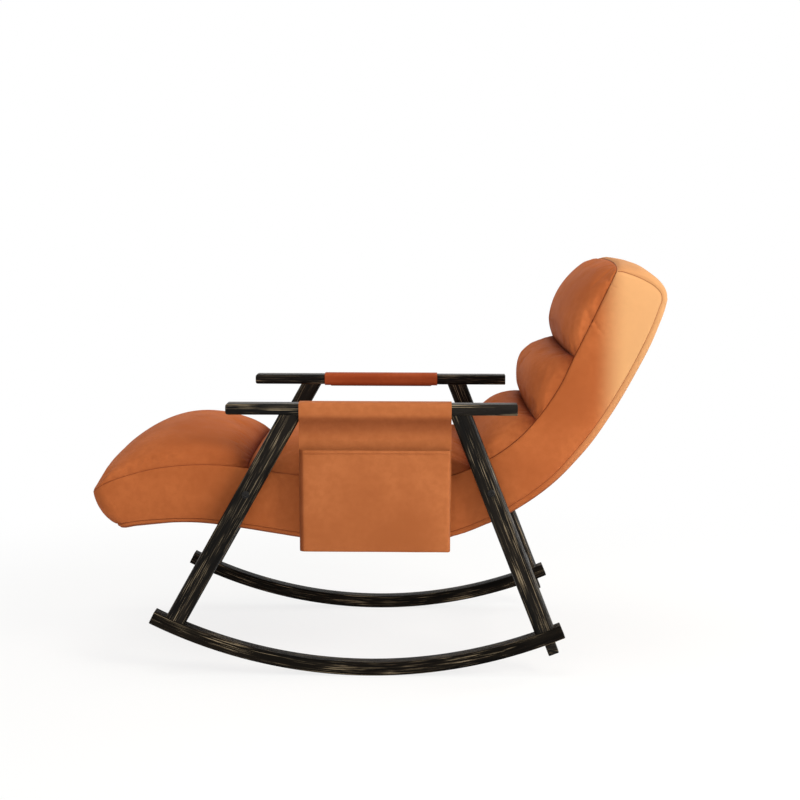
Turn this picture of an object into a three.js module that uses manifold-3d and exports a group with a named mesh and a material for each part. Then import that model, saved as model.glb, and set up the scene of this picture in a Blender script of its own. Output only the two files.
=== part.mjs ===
// Rocking lounge chair: two wooden side frames on curved runners carry a one-piece upholstered seat.
// Millimetres, +Z up. The chair faces -X, and its left side, the one with the pocket, is at -Y.
// It is drawn with x = 0 at the lowest point of the runners, and then moved by CENTRE_SHIFT.
import * as THREE from "three";
import { mergeVertices } from "three/addons/utils/BufferGeometryUtils.js";
import Module from "manifold-3d";

const wasm = await Module();
wasm.setup();

// Whole chair
const CENTRE_SHIFT = { x: -14.5, y: 6.84 };
const FIT_GAP = 0.3;
const HALF_WIDTH = 325;
const LEFT = -1;
const RIGHT = 1;
const SIDES = [["left", LEFT], ["right", RIGHT]];

// Runners: a board bent to a circle, in 3 degree facets, with one facet flat on the floor
const RUNNER = { radius: 1064, height: 29, width: 40, rounding: 5, frontEnd: 26.5, rearEnd: 23.1, facet: 3 };
const STOP = { angle: 21.2, width: 23, height: 25, thickness: 30, rounding: 2 };
const STOP_SCREW = { head: 5, headHeight: 3, shank: 2.2, length: 34, recess: 1.5 };

// Legs lean outwards; each axis runs through one point, and lean is in degrees from upright
const LEG = { width: 43.5, thickness: 34, rounding: 8, inset: 3 };
const FRONT_LEG = { x: -173.4, z: 553, lean: 29.26 };
const REAR_LEG = { x: 237, z: 448, lean: -21.34 };

// Arm rails
const ARM = { front: -305, rear: 311, top: 587, height: 24, width: 40, rounding: 5, noseRounding: 6 };

// Joinery
const DOWEL = { radius: 4, clearance: 0.3, length: 34, endClearance: 1 };
const STRETCHER = { radius: 11, tenonRadius: 7, tenonLength: 16, sides: 20 };
const FRONT_STRETCHER_Z = 165;
const REAR_STRETCHER_Z = 136;

// Upholstered body: the front seam and the back seam of its side walls, seen from the side
const FRONT_SEAM = [
  [-603, 387], [-571, 406], [-538, 419], [-466, 438], [-384, 447], [-302, 445],
  [-214, 433], [-100, 420], [0, 413], [95, 413], [174, 427], [255, 463],
  [310, 502], [354, 548], [401, 617], [433, 684], [470, 760], [519, 864],
];
const BACK_SEAM = [
  [-542, 317], [-505, 324], [-468, 327], [-413, 330], [-358, 329], [-275, 319],
  [-176, 304], [-60, 291], [60, 289], [160, 301], [240, 330], [307, 370],
  [384, 430], [474, 534], [546, 641], [590, 735], [617, 812],
];
const BODY = { halfWidth: 274, wall: 18, footCorner: 42, headCorner: 26, spacing: 36 };
const SIDE_BOARD = { behindFront: 45.2, behindBack: 12, fromEnds: 46, thickness: 18 };
const FOAM = { top: 0.7, depth: 41.5, fromWall: 17 };
const FOOTREST_CORE = { from: 104, to: 324, top: 42.4, bottom: 92 };

// Front pads: where each starts and ends along the front seam, its height at both tucks and its crown
const PADS = [
  {
    name: "footrest_pad", from: 0, to: 350,
    startHeight: 8, endHeight: 22, crown: 73, skew: 1.2, power: 0.66,
  },
  {
    name: "seat_pad", from: 350, to: 838,
    startHeight: 22, endHeight: 26, crown: 84, skew: 1, power: 0.4,
  },
  {
    name: "lumbar_pad", from: 838, to: 1011,
    startHeight: 26, endHeight: 18, crown: 67, skew: 1.2, power: 0.5,
  },
  {
    name: "middle_back_pad", from: 1011, to: 1169,
    startHeight: 18, endHeight: 18, crown: 74, skew: 1.3, power: 0.6,
  },
  {
    name: "head_pad", from: 1169, to: Infinity,
    startHeight: 18, endHeight: 10, crown: 62, skew: 0.92, power: 0.58,
  },
];
const PAD = { edge: 2.5, spacing: 30, rounding: [5, 14], across: 14, sidePower: 0.45, tuckGap: 0.4 };
const BACK_PANEL = { crown: 19, across: 8, sidePower: 0.3, thickness: 6 };

// End walls: how far each bulges at the front seam, at the back seam and between them
const FOOT_END = { name: "foot_end_wall", front: 0, back: 2, crown: 13, reach: 2 };
const HEAD_END = { name: "head_end_wall", front: 18, back: 28, crown: 17, reach: 8 };
const END_WALL = { steps: 6, power: 0.8, sidePower: 0.35, innerShare: 0.6 };

// Inner frame: cross battens and webbing, placed along the front seam
const BATTEN = { width: 40, thickness: 20, depth: 76, at: [78, 350, 660, 915, 1300] };
const WEBBING = { width: 50, thickness: 2.4, depth: 42.15, at: [450, 550, 760, 1010, 1170] };

// Bolts that hold the body between the legs
const BOLT = {
  headRadius: 8, headHeight: 3, shankRadius: 3.8, boreRadius: 4.2, tipFromCentre: 240, sides: 20,
};
const SPACER_RADIUS = 12;
const FRONT_BOLT_Z = 392;
const REAR_BOLT_Z = 398;

// Leather on the arms: the right sleeve, the left wrap and the pocket that hangs from it
const LEATHER = 2.2;
const SLEEVE = { from: -134, to: 143 };
const WRAP = { from: -150, to: 172, clearOfFrontLeg: -138, clearOfRearLeg: 164 };
const CLOSURE = { width: 22, thickness: 1.6, endInset: 14 };
const POCKET = {
  from: -149, to: 170, hingeY: -326.3, hingeZ: 557.5, topDrop: 2.5, height: 286.5, mouthHeight: 66.5,
  depth: 14, leather: 2.4, lean: 2.59, cornerRadius: 6, sideInset: 1.5,
};
const POCKET_PIECES = ["pocket_panel", "pouch"];

const MATERIALS = {
  wood: { color: 0x2a2621, roughness: 0.5, metalness: 0 },
  leather: { color: 0xb5663c, roughness: 0.55, metalness: 0 },
  upholstery: { color: 0xb5663c, roughness: 0.55, metalness: 0 },
  foam: { color: 0xe6dcc4, roughness: 0.95, metalness: 0 },
  plywood: { color: 0xc79f6b, roughness: 0.8, metalness: 0 },
  webbing: { color: 0x3b3a38, roughness: 0.9, metalness: 0 },
  steel: { color: 0x1c1c1e, roughness: 0.35, metalness: 1 },
};

const radians = THREE.MathUtils.degToRad;

// Turns a closed three.js geometry into a solid that can be cut and joined.
function solidOf(geometry) {
  const bare = geometry.index ? geometry.toNonIndexed() : geometry.clone();
  bare.deleteAttribute("normal");
  bare.deleteAttribute("uv");
  const merged = mergeVertices(bare, 1e-4);
  return new wasm.Manifold(new wasm.Mesh({
    numProp: 3,
    vertProperties: new Float32Array(merged.attributes.position.array),
    triVerts: new Uint32Array(merged.index.array),
  }));
}

function geometryOf(solid) {
  const mesh = solid.getMesh();
  const geometry = new THREE.BufferGeometry();
  geometry.setAttribute("position", new THREE.BufferAttribute(new Float32Array(mesh.vertProperties), 3));
  geometry.setIndex(new THREE.BufferAttribute(new Uint32Array(mesh.triVerts), 1));
  geometry.computeVertexNormals();
  return geometry;
}

// A board whose outline is drawn in X and Z, as thick as width, from yLow towards +Y, with rounded edges.
function board(outline, yLow, width, rounding = 0, segments = 2) {
  const shape = new THREE.Shape(outline.map(([x, z]) => new THREE.Vector2(x, z)));
  const geometry = new THREE.ExtrudeGeometry(shape, {
    depth: width - 2 * rounding,
    bevelEnabled: rounding > 0,
    bevelThickness: rounding,
    bevelSize: rounding,
    bevelOffset: -rounding,
    bevelSegments: segments,
    curveSegments: 4,
  });
  geometry.rotateX(Math.PI / 2);
  geometry.translate(0, yLow + width - rounding, 0);
  return solidOf(geometry);
}

// The low Y face of a board on one side of the chair, from the distance of its outer face.
function lowFace(side, outerFace, width) {
  return side === LEFT ? -outerFace : outerFace - width;
}

// A rod across the chair from y1 to y2 through the point x, z.
function crossRod(x, z, radius, y1, y2, sides = BOLT.sides) {
  const geometry = new THREE.CylinderGeometry(radius, radius, Math.abs(y2 - y1), sides);
  geometry.translate(x, (y1 + y2) / 2, z);
  return solidOf(geometry);
}

// A rod centred on a point and leaning in the XZ plane, lean in degrees from upright.
function leaningRod(x, y, z, radius, length, lean, sides = 12) {
  const geometry = new THREE.CylinderGeometry(radius, radius, length, sides);
  geometry.rotateX(Math.PI / 2);
  geometry.rotateY(radians(lean));
  geometry.translate(x, y, z);
  return solidOf(geometry);
}

function block(centre, size, turn = 0) {
  const geometry = new THREE.BoxGeometry(size[0], size[1], size[2]);
  geometry.rotateY(turn);
  geometry.translate(centre[0], centre[1], centre[2]);
  return solidOf(geometry);
}

// A point of the runner: angle in degrees from the lowest point, towards +X, and depth above its underside.
function runnerPoint(angle, depth, facetCorner = true) {
  const stretch = facetCorner ? 1 / Math.cos(radians(RUNNER.facet / 2)) : 1;
  const radius = (RUNNER.radius - depth) * stretch;
  return [radius * Math.sin(radians(angle)), RUNNER.radius - radius * Math.cos(radians(angle))];
}

function runnerAngles() {
  const angles = [-RUNNER.frontEnd];
  const half = RUNNER.facet / 2;
  for (let angle = -half - RUNNER.facet * 8; angle < RUNNER.rearEnd; angle += RUNNER.facet) {
    if (angle > -RUNNER.frontEnd + half / 3) angles.push(angle);
  }
  angles.push(RUNNER.rearEnd);
  return angles;
}

function runner(side) {
  const angles = runnerAngles();
  const under = angles.map((angle) => runnerPoint(angle, 0));
  const over = angles.map((angle) => runnerPoint(angle, RUNNER.height)).reverse();
  return board([...under, ...over], lowFace(side, HALF_WIDTH, RUNNER.width), RUNNER.width, RUNNER.rounding);
}

// Everything below the runner's upper face, which the legs are cut to stand on.
function belowRunnerTop() {
  const top = runnerAngles().map((angle) => runnerPoint(angle, RUNNER.height + FIT_GAP));
  const [floor, reach] = [-200, 700];
  const ends = [[-reach, floor], [reach, floor], [reach, top.at(-1)[1]]];
  return board([...ends, ...top.reverse(), [-reach, top.at(-1)[1]]], -400, 800);
}

// Everything above the runner's underside, which the stops are cut to.
function aboveRunnerUnderside() {
  const under = runnerAngles().map((angle) => runnerPoint(angle, -FIT_GAP));
  const roof = 400;
  return board([...under, [under.at(-1)[0], roof], [under[0][0], roof]], -400, 800);
}

function stop(side) {
  const [x, z] = runnerPoint(STOP.angle, -STOP.height, false);
  const turn = radians(STOP.angle);
  const along = [Math.cos(turn), Math.sin(turn)];
  const up = [-Math.sin(turn), Math.cos(turn)];
  const corner = (across, height) => [
    x + along[0] * across + up[0] * height,
    z + along[1] * across + up[1] * height,
  ];
  const half = STOP.width / 2;
  const tall = STOP.height + RUNNER.height / 2;
  const outline = [corner(-half, 0), corner(half, 0), corner(half, tall), corner(-half, tall)];
  const middle = HALF_WIDTH - RUNNER.width / 2;
  const yLow = side * middle - STOP.thickness / 2;
  return board(outline, yLow, STOP.thickness, STOP.rounding, 1).subtract(aboveRunnerUnderside());
}

// A countersunk screw up through the stop into the runner.
function stopScrew(side, growth = 0) {
  const { head, headHeight, shank, length, recess } = STOP_SCREW;
  const bottom = growth > 0 ? -recess - 1 : 0;
  const profile = [
    [0, bottom], [head + growth, bottom], [head + growth, 0.4 + growth],
    [shank + growth, headHeight + growth], [shank + growth, length + growth], [0, length + growth],
  ];
  const geometry = new THREE.LatheGeometry(profile.map(([r, h]) => new THREE.Vector2(r, h)), 12);
  geometry.rotateX(Math.PI / 2);
  geometry.rotateY(-radians(STOP.angle));
  const [x, z] = runnerPoint(STOP.angle, -STOP.height + recess, false);
  geometry.translate(x, side * (HALF_WIDTH - RUNNER.width / 2), z);
  return solidOf(geometry);
}

function legAxisX(leg, z) {
  return leg.x + (z - leg.z) * Math.tan(radians(leg.lean));
}

function legOnSide(leg, side) {
  const half = LEG.width / 2 / Math.cos(radians(leg.lean));
  const [low, high] = [40, 640];
  const outline = [
    [legAxisX(leg, low) - half, low], [legAxisX(leg, low) + half, low],
    [legAxisX(leg, high) + half, high], [legAxisX(leg, high) - half, high],
  ];
  const inner = lowFace(side, HALF_WIDTH - LEG.inset, LEG.thickness);
  const long = board(outline, inner, LEG.thickness, LEG.rounding, 3);
  const aboveUnderside = block([0, 0, 700], [1600, 800, 2 * (700 - ARM.top + ARM.height + FIT_GAP)]);
  return long.subtract(aboveUnderside).subtract(belowRunnerTop());
}

// Rounded rectangle in X and Z, counter-clockwise, with the given rounding at its low X end only.
function nosedOutline(x1, x2, z1, z2, rounding) {
  const steps = 4;
  const points = [[x2, z1], [x2, z2]];
  for (let i = 0; i <= steps; i += 1) {
    const turn = Math.PI / 2 * (1 + i / steps);
    points.push([x1 + rounding + rounding * Math.cos(turn), z2 - rounding + rounding * Math.sin(turn)]);
  }
  for (let i = 0; i <= steps; i += 1) {
    const turn = Math.PI / 2 * (2 + i / steps);
    points.push([x1 + rounding + rounding * Math.cos(turn), z1 + rounding + rounding * Math.sin(turn)]);
  }
  return points;
}

// Section of the arm rail in Y and Z, grown all round, as a shape for ExtrudeGeometry.
function armSection(side, growth, path = new THREE.Shape()) {
  const middleY = side * (HALF_WIDTH - ARM.width / 2);
  const middleZ = ARM.top - ARM.height / 2;
  const [halfY, halfZ] = [ARM.width / 2 + growth, ARM.height / 2 + growth];
  const rounding = ARM.rounding + growth;
  const corners = [[1, 1], [-1, 1], [-1, -1], [1, -1]];
  const steps = 3;
  const points = corners.flatMap(([sy, sz], quarter) => Array.from({ length: steps + 1 }, (_, i) => {
    const turn = Math.PI / 2 * (quarter + i / steps);
    const y = middleY + sy * (halfY - rounding) + rounding * Math.cos(turn);
    const z = middleZ + sz * (halfZ - rounding) + rounding * Math.sin(turn);
    return new THREE.Vector2(y, z);
  }));
  path.setFromPoints(points);
  return path;
}

// A length along X whose section is drawn in Y and Z.
function alongX(section, x1, x2) {
  const geometry = new THREE.ExtrudeGeometry(section, { depth: x2 - x1, bevelEnabled: false });
  const turn = new THREE.Matrix4().makeBasis(
    new THREE.Vector3(0, 1, 0), new THREE.Vector3(0, 0, 1), new THREE.Vector3(1, 0, 0),
  );
  geometry.applyMatrix4(turn);
  geometry.translate(x1, 0, 0);
  return solidOf(geometry);
}

function arm(side) {
  const nose = nosedOutline(ARM.front, ARM.rear, ARM.top - ARM.height, ARM.top, ARM.noseRounding);
  const whole = alongX(armSection(side, 0), ARM.front - 5, ARM.rear + 5);
  return whole.intersect(board(nose, -400, 800));
}

// Leather wrapped once round the arm rail.
function armCover(side, from, to) {
  const section = armSection(side, FIT_GAP + LEATHER);
  section.holes.push(armSection(side, FIT_GAP, new THREE.Path()));
  return alongX(section, from, to);
}

function closureStrip(side, from, to) {
  const z = ARM.top - ARM.height - 2 * FIT_GAP - LEATHER - CLOSURE.thickness / 2;
  const length = to - from - 2 * CLOSURE.endInset;
  const y = side * (HALF_WIDTH - ARM.width / 2 - 3);
  return block([(from + to) / 2, y, z], [length, CLOSURE.width, CLOSURE.thickness]);
}

// The seams as smooth lines, measured in millimetres along them.
class SeamLine {
  constructor(points, frontIsUp) {
    const corners = points.map(([x, z]) => new THREE.Vector3(x, 0, z));
    this.curve = new THREE.CatmullRomCurve3(corners, false, "centripetal");
    this.curve.arcLengthDivisions = 800;
    this.length = this.curve.getLength();
    this.outward = frontIsUp ? 1 : -1;
  }

  // The point at a distance along the line and a height out of the body, straight on past both ends.
  at(distance, height = 0) {
    const inside = THREE.MathUtils.clamp(distance, 0, this.length);
    const share = inside / this.length;
    const point = this.curve.getPointAt(share);
    const tangent = this.curve.getTangentAt(share);
    const extra = distance - inside;
    const normal = [-tangent.z * this.outward, tangent.x * this.outward];
    return [
      point.x + tangent.x * extra + normal[0] * height,
      point.z + tangent.z * extra + normal[1] * height,
    ];
  }

  // Angle of the line there, for a piece that lies along it.
  turn(distance) {
    const tangent = this.curve.getTangentAt(THREE.MathUtils.clamp(distance / this.length, 0, 1));
    return Math.atan2(-tangent.z, tangent.x);
  }
}

const frontSeam = new SeamLine(FRONT_SEAM, true);
const backSeam = new SeamLine(BACK_SEAM, false);

// Distances along the front seam where a pad has a row of points; they are close together at its tucks.
function rowsBetween(from, to, spacing) {
  const [near, far] = PAD.rounding;
  const steps = Math.ceil((to - from - 2 * far) / spacing);
  const between = (_, i) => THREE.MathUtils.lerp(from + far, to - far, i / steps);
  const middle = Array.from({ length: steps + 1 }, between);
  return [from, from + near, ...middle, to - near, to];
}

function padRows(pad) {
  return rowsBetween(pad.from, Math.min(pad.to, frontSeam.length), PAD.spacing);
}

const frontStations = [...new Set(PADS.flatMap(padRows))];
const backStations = rowsBetween(0, backSeam.length, BODY.spacing);

// Half the body's width at a distance along a seam; its corners are rounded at both ends.
// Inset is for lines inside the walls.
function halfWidthAt(distance, seam, inset = 0) {
  const half = BODY.halfWidth - inset;
  const rounded = (fromEnd, corner) => {
    const radius = corner - inset;
    if (fromEnd >= radius) return half;
    return half - radius + Math.sqrt(radius ** 2 - (radius - Math.max(0, fromEnd)) ** 2);
  };
  const [fromFoot, fromHead] = [distance - inset, seam.length - distance - inset];
  return Math.min(rounded(fromFoot, BODY.footCorner), rounded(fromHead, BODY.headCorner));
}

// Outline between a line inside the front seam and a line inside the back seam, closed by straight ends.
function bodyOutline(frontDepth, backDepth, frontRows, backRows) {
  const back = backRows.map((distance) => backSeam.at(distance, -backDepth));
  const front = frontRows.map((distance) => frontSeam.at(distance, -frontDepth));
  return [...back, ...front.reverse()];
}

// How far a pad has swelled at a share of the half width: full in the middle and nothing at the seam.
function sideSwell(across, power) {
  return Math.max(0, 1 - Math.abs(across) ** 2.6) ** power;
}

// A closed form over a grid: base(i, j) and top(i, j) give points, i along the form and j across the chair.
function gridForm(along, across, base, top) {
  const positions = [];
  const index = [];
  const row = across + 1;
  const sheet = (along + 1) * row;
  for (const point of [base, top]) {
    for (let i = 0; i <= along; i += 1) {
      for (let j = 0; j <= across; j += 1) positions.push(...point(i, j));
    }
  }
  const quad = (a, b, c, d) => index.push(a, b, c, a, c, d);
  for (let i = 0; i < along; i += 1) {
    for (let j = 0; j < across; j += 1) {
      const a = i * row + j;
      quad(a, a + 1, a + row + 1, a + row);
      quad(sheet + a, sheet + a + row, sheet + a + row + 1, sheet + a + 1);
    }
  }
  for (let i = 0; i < along; i += 1) {
    const low = i * row;
    const high = low + across;
    quad(low, low + row, sheet + low + row, sheet + low);
    quad(high + row, high, sheet + high, sheet + high + row);
  }
  for (let j = 0; j < across; j += 1) {
    const last = along * row + j;
    quad(j + 1, j, sheet + j, sheet + j + 1);
    quad(last, last + 1, sheet + last + 1, sheet + last);
  }
  const geometry = new THREE.BufferGeometry();
  geometry.setAttribute("position", new THREE.Float32BufferAttribute(positions, 3));
  geometry.setIndex(index);
  const solid = solidOf(geometry);
  if (solid.volume() > 0) return solid;
  geometry.setIndex(index.map((_, k) => index[k - (k % 3) + 2 - (k % 3)]));
  return solidOf(geometry);
}

// Places across the chair from -1 to 1, closer together towards the rolled sides.
function acrossAt(j, steps) {
  return Math.sin(Math.PI * (j / steps - 0.5));
}

// A form that lies on a seam line: heights are given for a row and a place from -1 to 1 across.
function formOnSeam(
  seam, rows, across, low, high, reach, halfWidth = (distance) => halfWidthAt(distance, seam),
) {
  const place = (i, j, rise, move) => {
    const [x, z] = seam.at(rows[i] + move, rise);
    return [x, acrossAt(j, across) * halfWidth(rows[i]), z];
  };
  const base = (i, j) => place(i, j, low(i, acrossAt(j, across)), 0);
  const top = (i, j) => place(i, j, high(i, acrossAt(j, across)), reach(i, acrossAt(j, across)));
  return gridForm(rows.length - 1, across, base, top);
}

function foamDeck() {
  const start = BODY.wall + FOAM.fromWall;
  const inner = frontStations.filter((s) => s > start + 20 && s < frontSeam.length - start - 20);
  const ends = [0, 4, 12];
  const rows = [
    ...ends.map((step) => start + step),
    ...inner,
    ...ends.map((step) => frontSeam.length - start - step).reverse(),
  ];
  const middle = frontSeam.length / 2;
  const halfWidth = (distance) => {
    const outer = distance + Math.sign(distance - middle) * (FOAM.fromWall - FIT_GAP);
    return halfWidthAt(outer, frontSeam, BODY.wall + FIT_GAP);
  };
  return formOnSeam(frontSeam, rows, 2, () => -FOAM.depth, () => -FOAM.top, () => 0, halfWidth);
}

function frontPad(pad) {
  const rows = padRows(pad);
  const last = rows.length - 1;
  const shares = rows.map((distance) => (distance - rows[0]) / (rows[last] - rows[0]));
  const atHead = rows[last] >= frontSeam.length;
  if (!atHead) rows[last] -= PAD.tuckGap;
  if (pad.from > 0) rows[0] += PAD.tuckGap;
  const height = (i, across) => {
    const tuck = THREE.MathUtils.lerp(pad.startHeight, pad.endHeight, shares[i]);
    const swell = Math.max(0, Math.sin(Math.PI * shares[i] ** pad.skew)) ** pad.power;
    return PAD.edge + (tuck + (pad.crown - tuck) * swell) * sideSwell(across, PAD.sidePower);
  };
  const reach = (i, across) => {
    const toHead = atHead ? HEAD_END.front * shares[i] ** 4 : 0;
    return toHead * sideSwell(across, END_WALL.sidePower);
  };
  return formOnSeam(frontSeam, rows, PAD.across, () => FIT_GAP, height, reach);
}

function backPanel() {
  const { crown, across, sidePower, thickness } = BACK_PANEL;
  const height = (i, place) => PAD.edge + crown * sideSwell(place, sidePower);
  const inner = (i, place) => Math.max(FIT_GAP, height(i, place) - thickness);
  return formOnSeam(backSeam, backStations, across, inner, height, () => 0);
}

// The wall that closes one end of the body and runs round its corners to meet the side walls.
function endWall(end, atHead) {
  const corner = atHead ? BODY.headCorner : BODY.footCorner;
  const stationsAt = (k) => [endStation(frontStations, k, atHead), endStation(backStations, k, atHead)];
  const cornerRows = [3, 2, 1, 0].map(stationsAt);
  const straight = [-1, -0.72, -0.36, 0, 0.36, 0.72, 1].slice(1, -1);
  const columns = [
    ...cornerRows.map(([front, back]) => ({ side: -1, front, back })),
    ...straight.map((place) => ({ place, front: 0, back: 0 })),
    ...cornerRows.reverse().map(([front, back]) => ({ side: 1, front, back })),
  ];
  const planOf = (column, inset) => {
    if (column.place !== undefined) return [column.place * (BODY.halfWidth - corner), inset, inset];
    const fromEnd = column.front;
    const bend = Math.min(1, fromEnd / corner);
    const turn = Math.acos(1 - bend);
    const inside = [
      BODY.halfWidth - corner + (corner - inset) * Math.sin(turn),
      corner - (corner - inset) * Math.cos(turn),
    ];
    const extra = Math.max(0, fromEnd - corner);
    const frontDistance = inside[1] + extra;
    return [column.side * inside[0], frontDistance, column.back + frontDistance - fromEnd];
  };
  const pointOn = (seam, fromEnd) => seam.at(atHead ? seam.length - fromEnd : fromEnd);
  const [frontCorner, backCorner] = [pointOn(frontSeam, 0), pointOn(backSeam, 0)];
  const depth = Math.hypot(backCorner[0] - frontCorner[0], backCorner[1] - frontCorner[1]);
  const along = [(backCorner[0] - frontCorner[0]) / depth, (backCorner[1] - frontCorner[1]) / depth];
  const out = atHead ? [-along[1], along[0]] : [along[1], -along[0]];
  const point = (i, j, inset) => {
    const share = i / END_WALL.steps;
    const [y, frontDistance, backDistance] = planOf(columns[j], inset);
    const front = pointOn(frontSeam, frontDistance);
    const back = pointOn(backSeam, backDistance);
    const swell = (inset > 0 ? END_WALL.innerShare : 1) * sideSwell(y / BODY.halfWidth, END_WALL.sidePower);
    const middle = end.crown * Math.max(0, Math.sin(Math.PI * share)) ** END_WALL.power;
    const rise = swell * (THREE.MathUtils.lerp(end.front, end.back, share) + middle);
    const reach = swell * end.reach * share ** 3;
    return [
      THREE.MathUtils.lerp(front[0], back[0], share) + out[0] * rise + along[0] * reach,
      y,
      THREE.MathUtils.lerp(front[1], back[1], share) + out[1] * rise + along[1] * reach,
    ];
  };
  const inner = (i, j) => point(i, j, BODY.wall);
  const outer = (i, j) => point(i, j, 0);
  return gridForm(END_WALL.steps, columns.length - 1, inner, outer).intersect(betweenFrontAndBack());
}

// Everything between the front pads and the back panel, and past the ends of the back panel.
function betweenFrontAndBack() {
  const past = 90;
  const [front, back] = [frontSeam.length, backSeam.length];
  const outline = [
    backSeam.at(-past, past), backSeam.at(-FIT_GAP, past), backSeam.at(-FIT_GAP),
    ...backStations.map((distance) => backSeam.at(distance)),
    backSeam.at(back + FIT_GAP), backSeam.at(back + FIT_GAP, past), backSeam.at(back + past, past),
    frontSeam.at(front + past),
    ...frontStations.map((distance) => frontSeam.at(distance)).reverse(),
    frontSeam.at(-past),
  ];
  return board(outline, -400, 800);
}

// Distance from the chosen end of the k-th station.
function endStation(stations, k, atHead) {
  return atHead ? stations.at(-1) - stations.at(-1 - k) : stations[k];
}

// The flat wall on one side, between the two end walls.
function sideWall(side) {
  const between = (stations) => [
    stations[3] + FIT_GAP, ...stations.slice(4, -4), stations.at(-4) - FIT_GAP,
  ];
  const outline = bodyOutline(0, 0, between(frontStations), between(backStations));
  return board(outline, lowFace(side, BODY.halfWidth, BODY.wall), BODY.wall);
}

function sideBoard(side) {
  const { behindFront, behindBack, fromEnds, thickness } = SIDE_BOARD;
  const between = (stations) => stations.filter((s) => s >= fromEnds && s <= stations.at(-1) - fromEnds);
  const outline = bodyOutline(behindFront, behindBack, between(frontStations), between(backStations));
  return board(outline, lowFace(side, BODY.halfWidth - BODY.wall - FIT_GAP, thickness), thickness);
}

// A batten across the chair, square to the front seam line.
function batten(distance, halfLength) {
  const [x, z] = frontSeam.at(distance, -BATTEN.depth);
  return block([x, 0, z], [BATTEN.width, 2 * halfLength, BATTEN.thickness], frontSeam.turn(distance));
}

// A layer across the chair that follows the front seam line, between two depths.
function layer(from, to, top, bottom, halfLength) {
  const rows = [from, ...frontStations.filter((s) => s > from + 1 && s < to - 1), to];
  const lower = rows.map((row) => frontSeam.at(row, -bottom));
  const upper = rows.map((row) => frontSeam.at(row, -top)).reverse();
  return board([...lower, ...upper], -halfLength, 2 * halfLength);
}

// A webbing strap across the side boards, bent as their front edges are.
function webbing(distance, halfLength) {
  const { width, depth, thickness } = WEBBING;
  return layer(distance - width / 2, distance + width / 2, depth, depth + thickness, halfLength);
}

// Dome-headed bolt through a leg into the body's side board.
function seatBolt(side, leg, z) {
  const face = HALF_WIDTH - LEG.inset;
  const { headRadius, headHeight, shankRadius, tipFromCentre, sides } = BOLT;
  const profile = [
    [0, tipFromCentre],
    [shankRadius, tipFromCentre],
    [shankRadius, face + FIT_GAP],
    [headRadius, face + FIT_GAP],
    [headRadius, face + FIT_GAP + headHeight * 0.4],
    [headRadius * 0.7, face + FIT_GAP + headHeight * 0.85],
    [0, face + FIT_GAP + headHeight],
  ];
  const geometry = new THREE.LatheGeometry(profile.map(([r, y]) => new THREE.Vector2(r, y)), sides);
  if (side === LEFT) geometry.rotateX(Math.PI);
  geometry.translate(legAxisX(leg, z), 0, z);
  return solidOf(geometry);
}

// The pocket is drawn hanging upright from its own origin, the line that it swings about.
function roundedOutline(x1, x2, z1, z2, radius) {
  const shape = new THREE.Shape();
  shape.moveTo(x1, z2);
  shape.lineTo(x1, z1 + radius);
  shape.quadraticCurveTo(x1, z1, x1 + radius, z1);
  shape.lineTo(x2 - radius, z1);
  shape.quadraticCurveTo(x2, z1, x2, z1 + radius);
  shape.lineTo(x2, z2);
  return shape.getPoints(3).map((point) => [point.x, point.y]);
}

function pocketPanel() {
  const { from, to, height, topDrop, leather, cornerRadius } = POCKET;
  return board(roundedOutline(from, to, -height, -topDrop, cornerRadius), -leather / 2, leather);
}

function pouch() {
  const { from, to, height, mouthHeight, depth, leather, cornerRadius, sideInset } = POCKET;
  const back = -leather / 2 - FIT_GAP;
  const inset = (by, top, radius) => roundedOutline(from + by, to - by, by - height, top, radius);
  const outer = board(inset(sideInset, -mouthHeight, cornerRadius), back - depth - leather, depth + leather);
  const innerOutline = inset(sideInset + leather, 20 - mouthHeight, cornerRadius / 2);
  const hollow = board(innerOutline, back - depth, depth + 5);
  return outer.subtract(hollow);
}

// Joins and bores that several pieces share are cut here, piece by piece.
const solids = new Map();
const materialOf = new Map();

function add(name, material, solid) {
  solids.set(name, solid);
  materialOf.set(name, material);
}

function cut(name, cutter) {
  solids.set(name, solids.get(name).subtract(cutter));
}

function buildSideFrame(name, side) {
  const legMiddle = side * (HALF_WIDTH - LEG.inset - LEG.thickness / 2);
  const runnerName = `${name}_runner`;
  const armName = `${name}_arm_rail`;
  add(runnerName, "wood", runner(side));
  add(armName, "wood", arm(side));
  add(`${name}_rear_stop`, "wood", stop(side));
  add(`${name}_stop_screw`, "steel", stopScrew(side));
  cut(`${name}_rear_stop`, stopScrew(side, FIT_GAP));
  cut(runnerName, stopScrew(side, FIT_GAP));
  for (const [place, leg] of [["front", FRONT_LEG], ["rear", REAR_LEG]]) {
    const legName = `${name}_${place}_leg`;
    add(legName, "wood", legOnSide(leg, side));
    const armJoint = ARM.top - ARM.height;
    const top = { x: legAxisX(leg, armJoint), z: armJoint };
    const foot = footOf(leg);
    for (const [joint, spot] of [["arm", top], ["foot", foot]]) {
      const bore = DOWEL.length + 2 * DOWEL.endClearance;
      const hole = leaningRod(spot.x, legMiddle, spot.z, DOWEL.radius + DOWEL.clearance, bore, leg.lean);
      cut(legName, hole);
      cut(joint === "arm" ? armName : runnerName, hole);
      const dowel = leaningRod(spot.x, legMiddle, spot.z, DOWEL.radius, DOWEL.length, leg.lean);
      add(`${name}_${place}_${joint}_dowel`, "plywood", dowel);
    }
  }
}

// Where a leg's axis meets the runner's upper face.
function footOf(leg) {
  let z = 100;
  for (let i = 0; i < 20; i += 1) {
    const radius = RUNNER.radius - RUNNER.height;
    z = RUNNER.radius - Math.sqrt(radius ** 2 - legAxisX(leg, z) ** 2);
  }
  return { x: legAxisX(leg, z), z };
}

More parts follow.
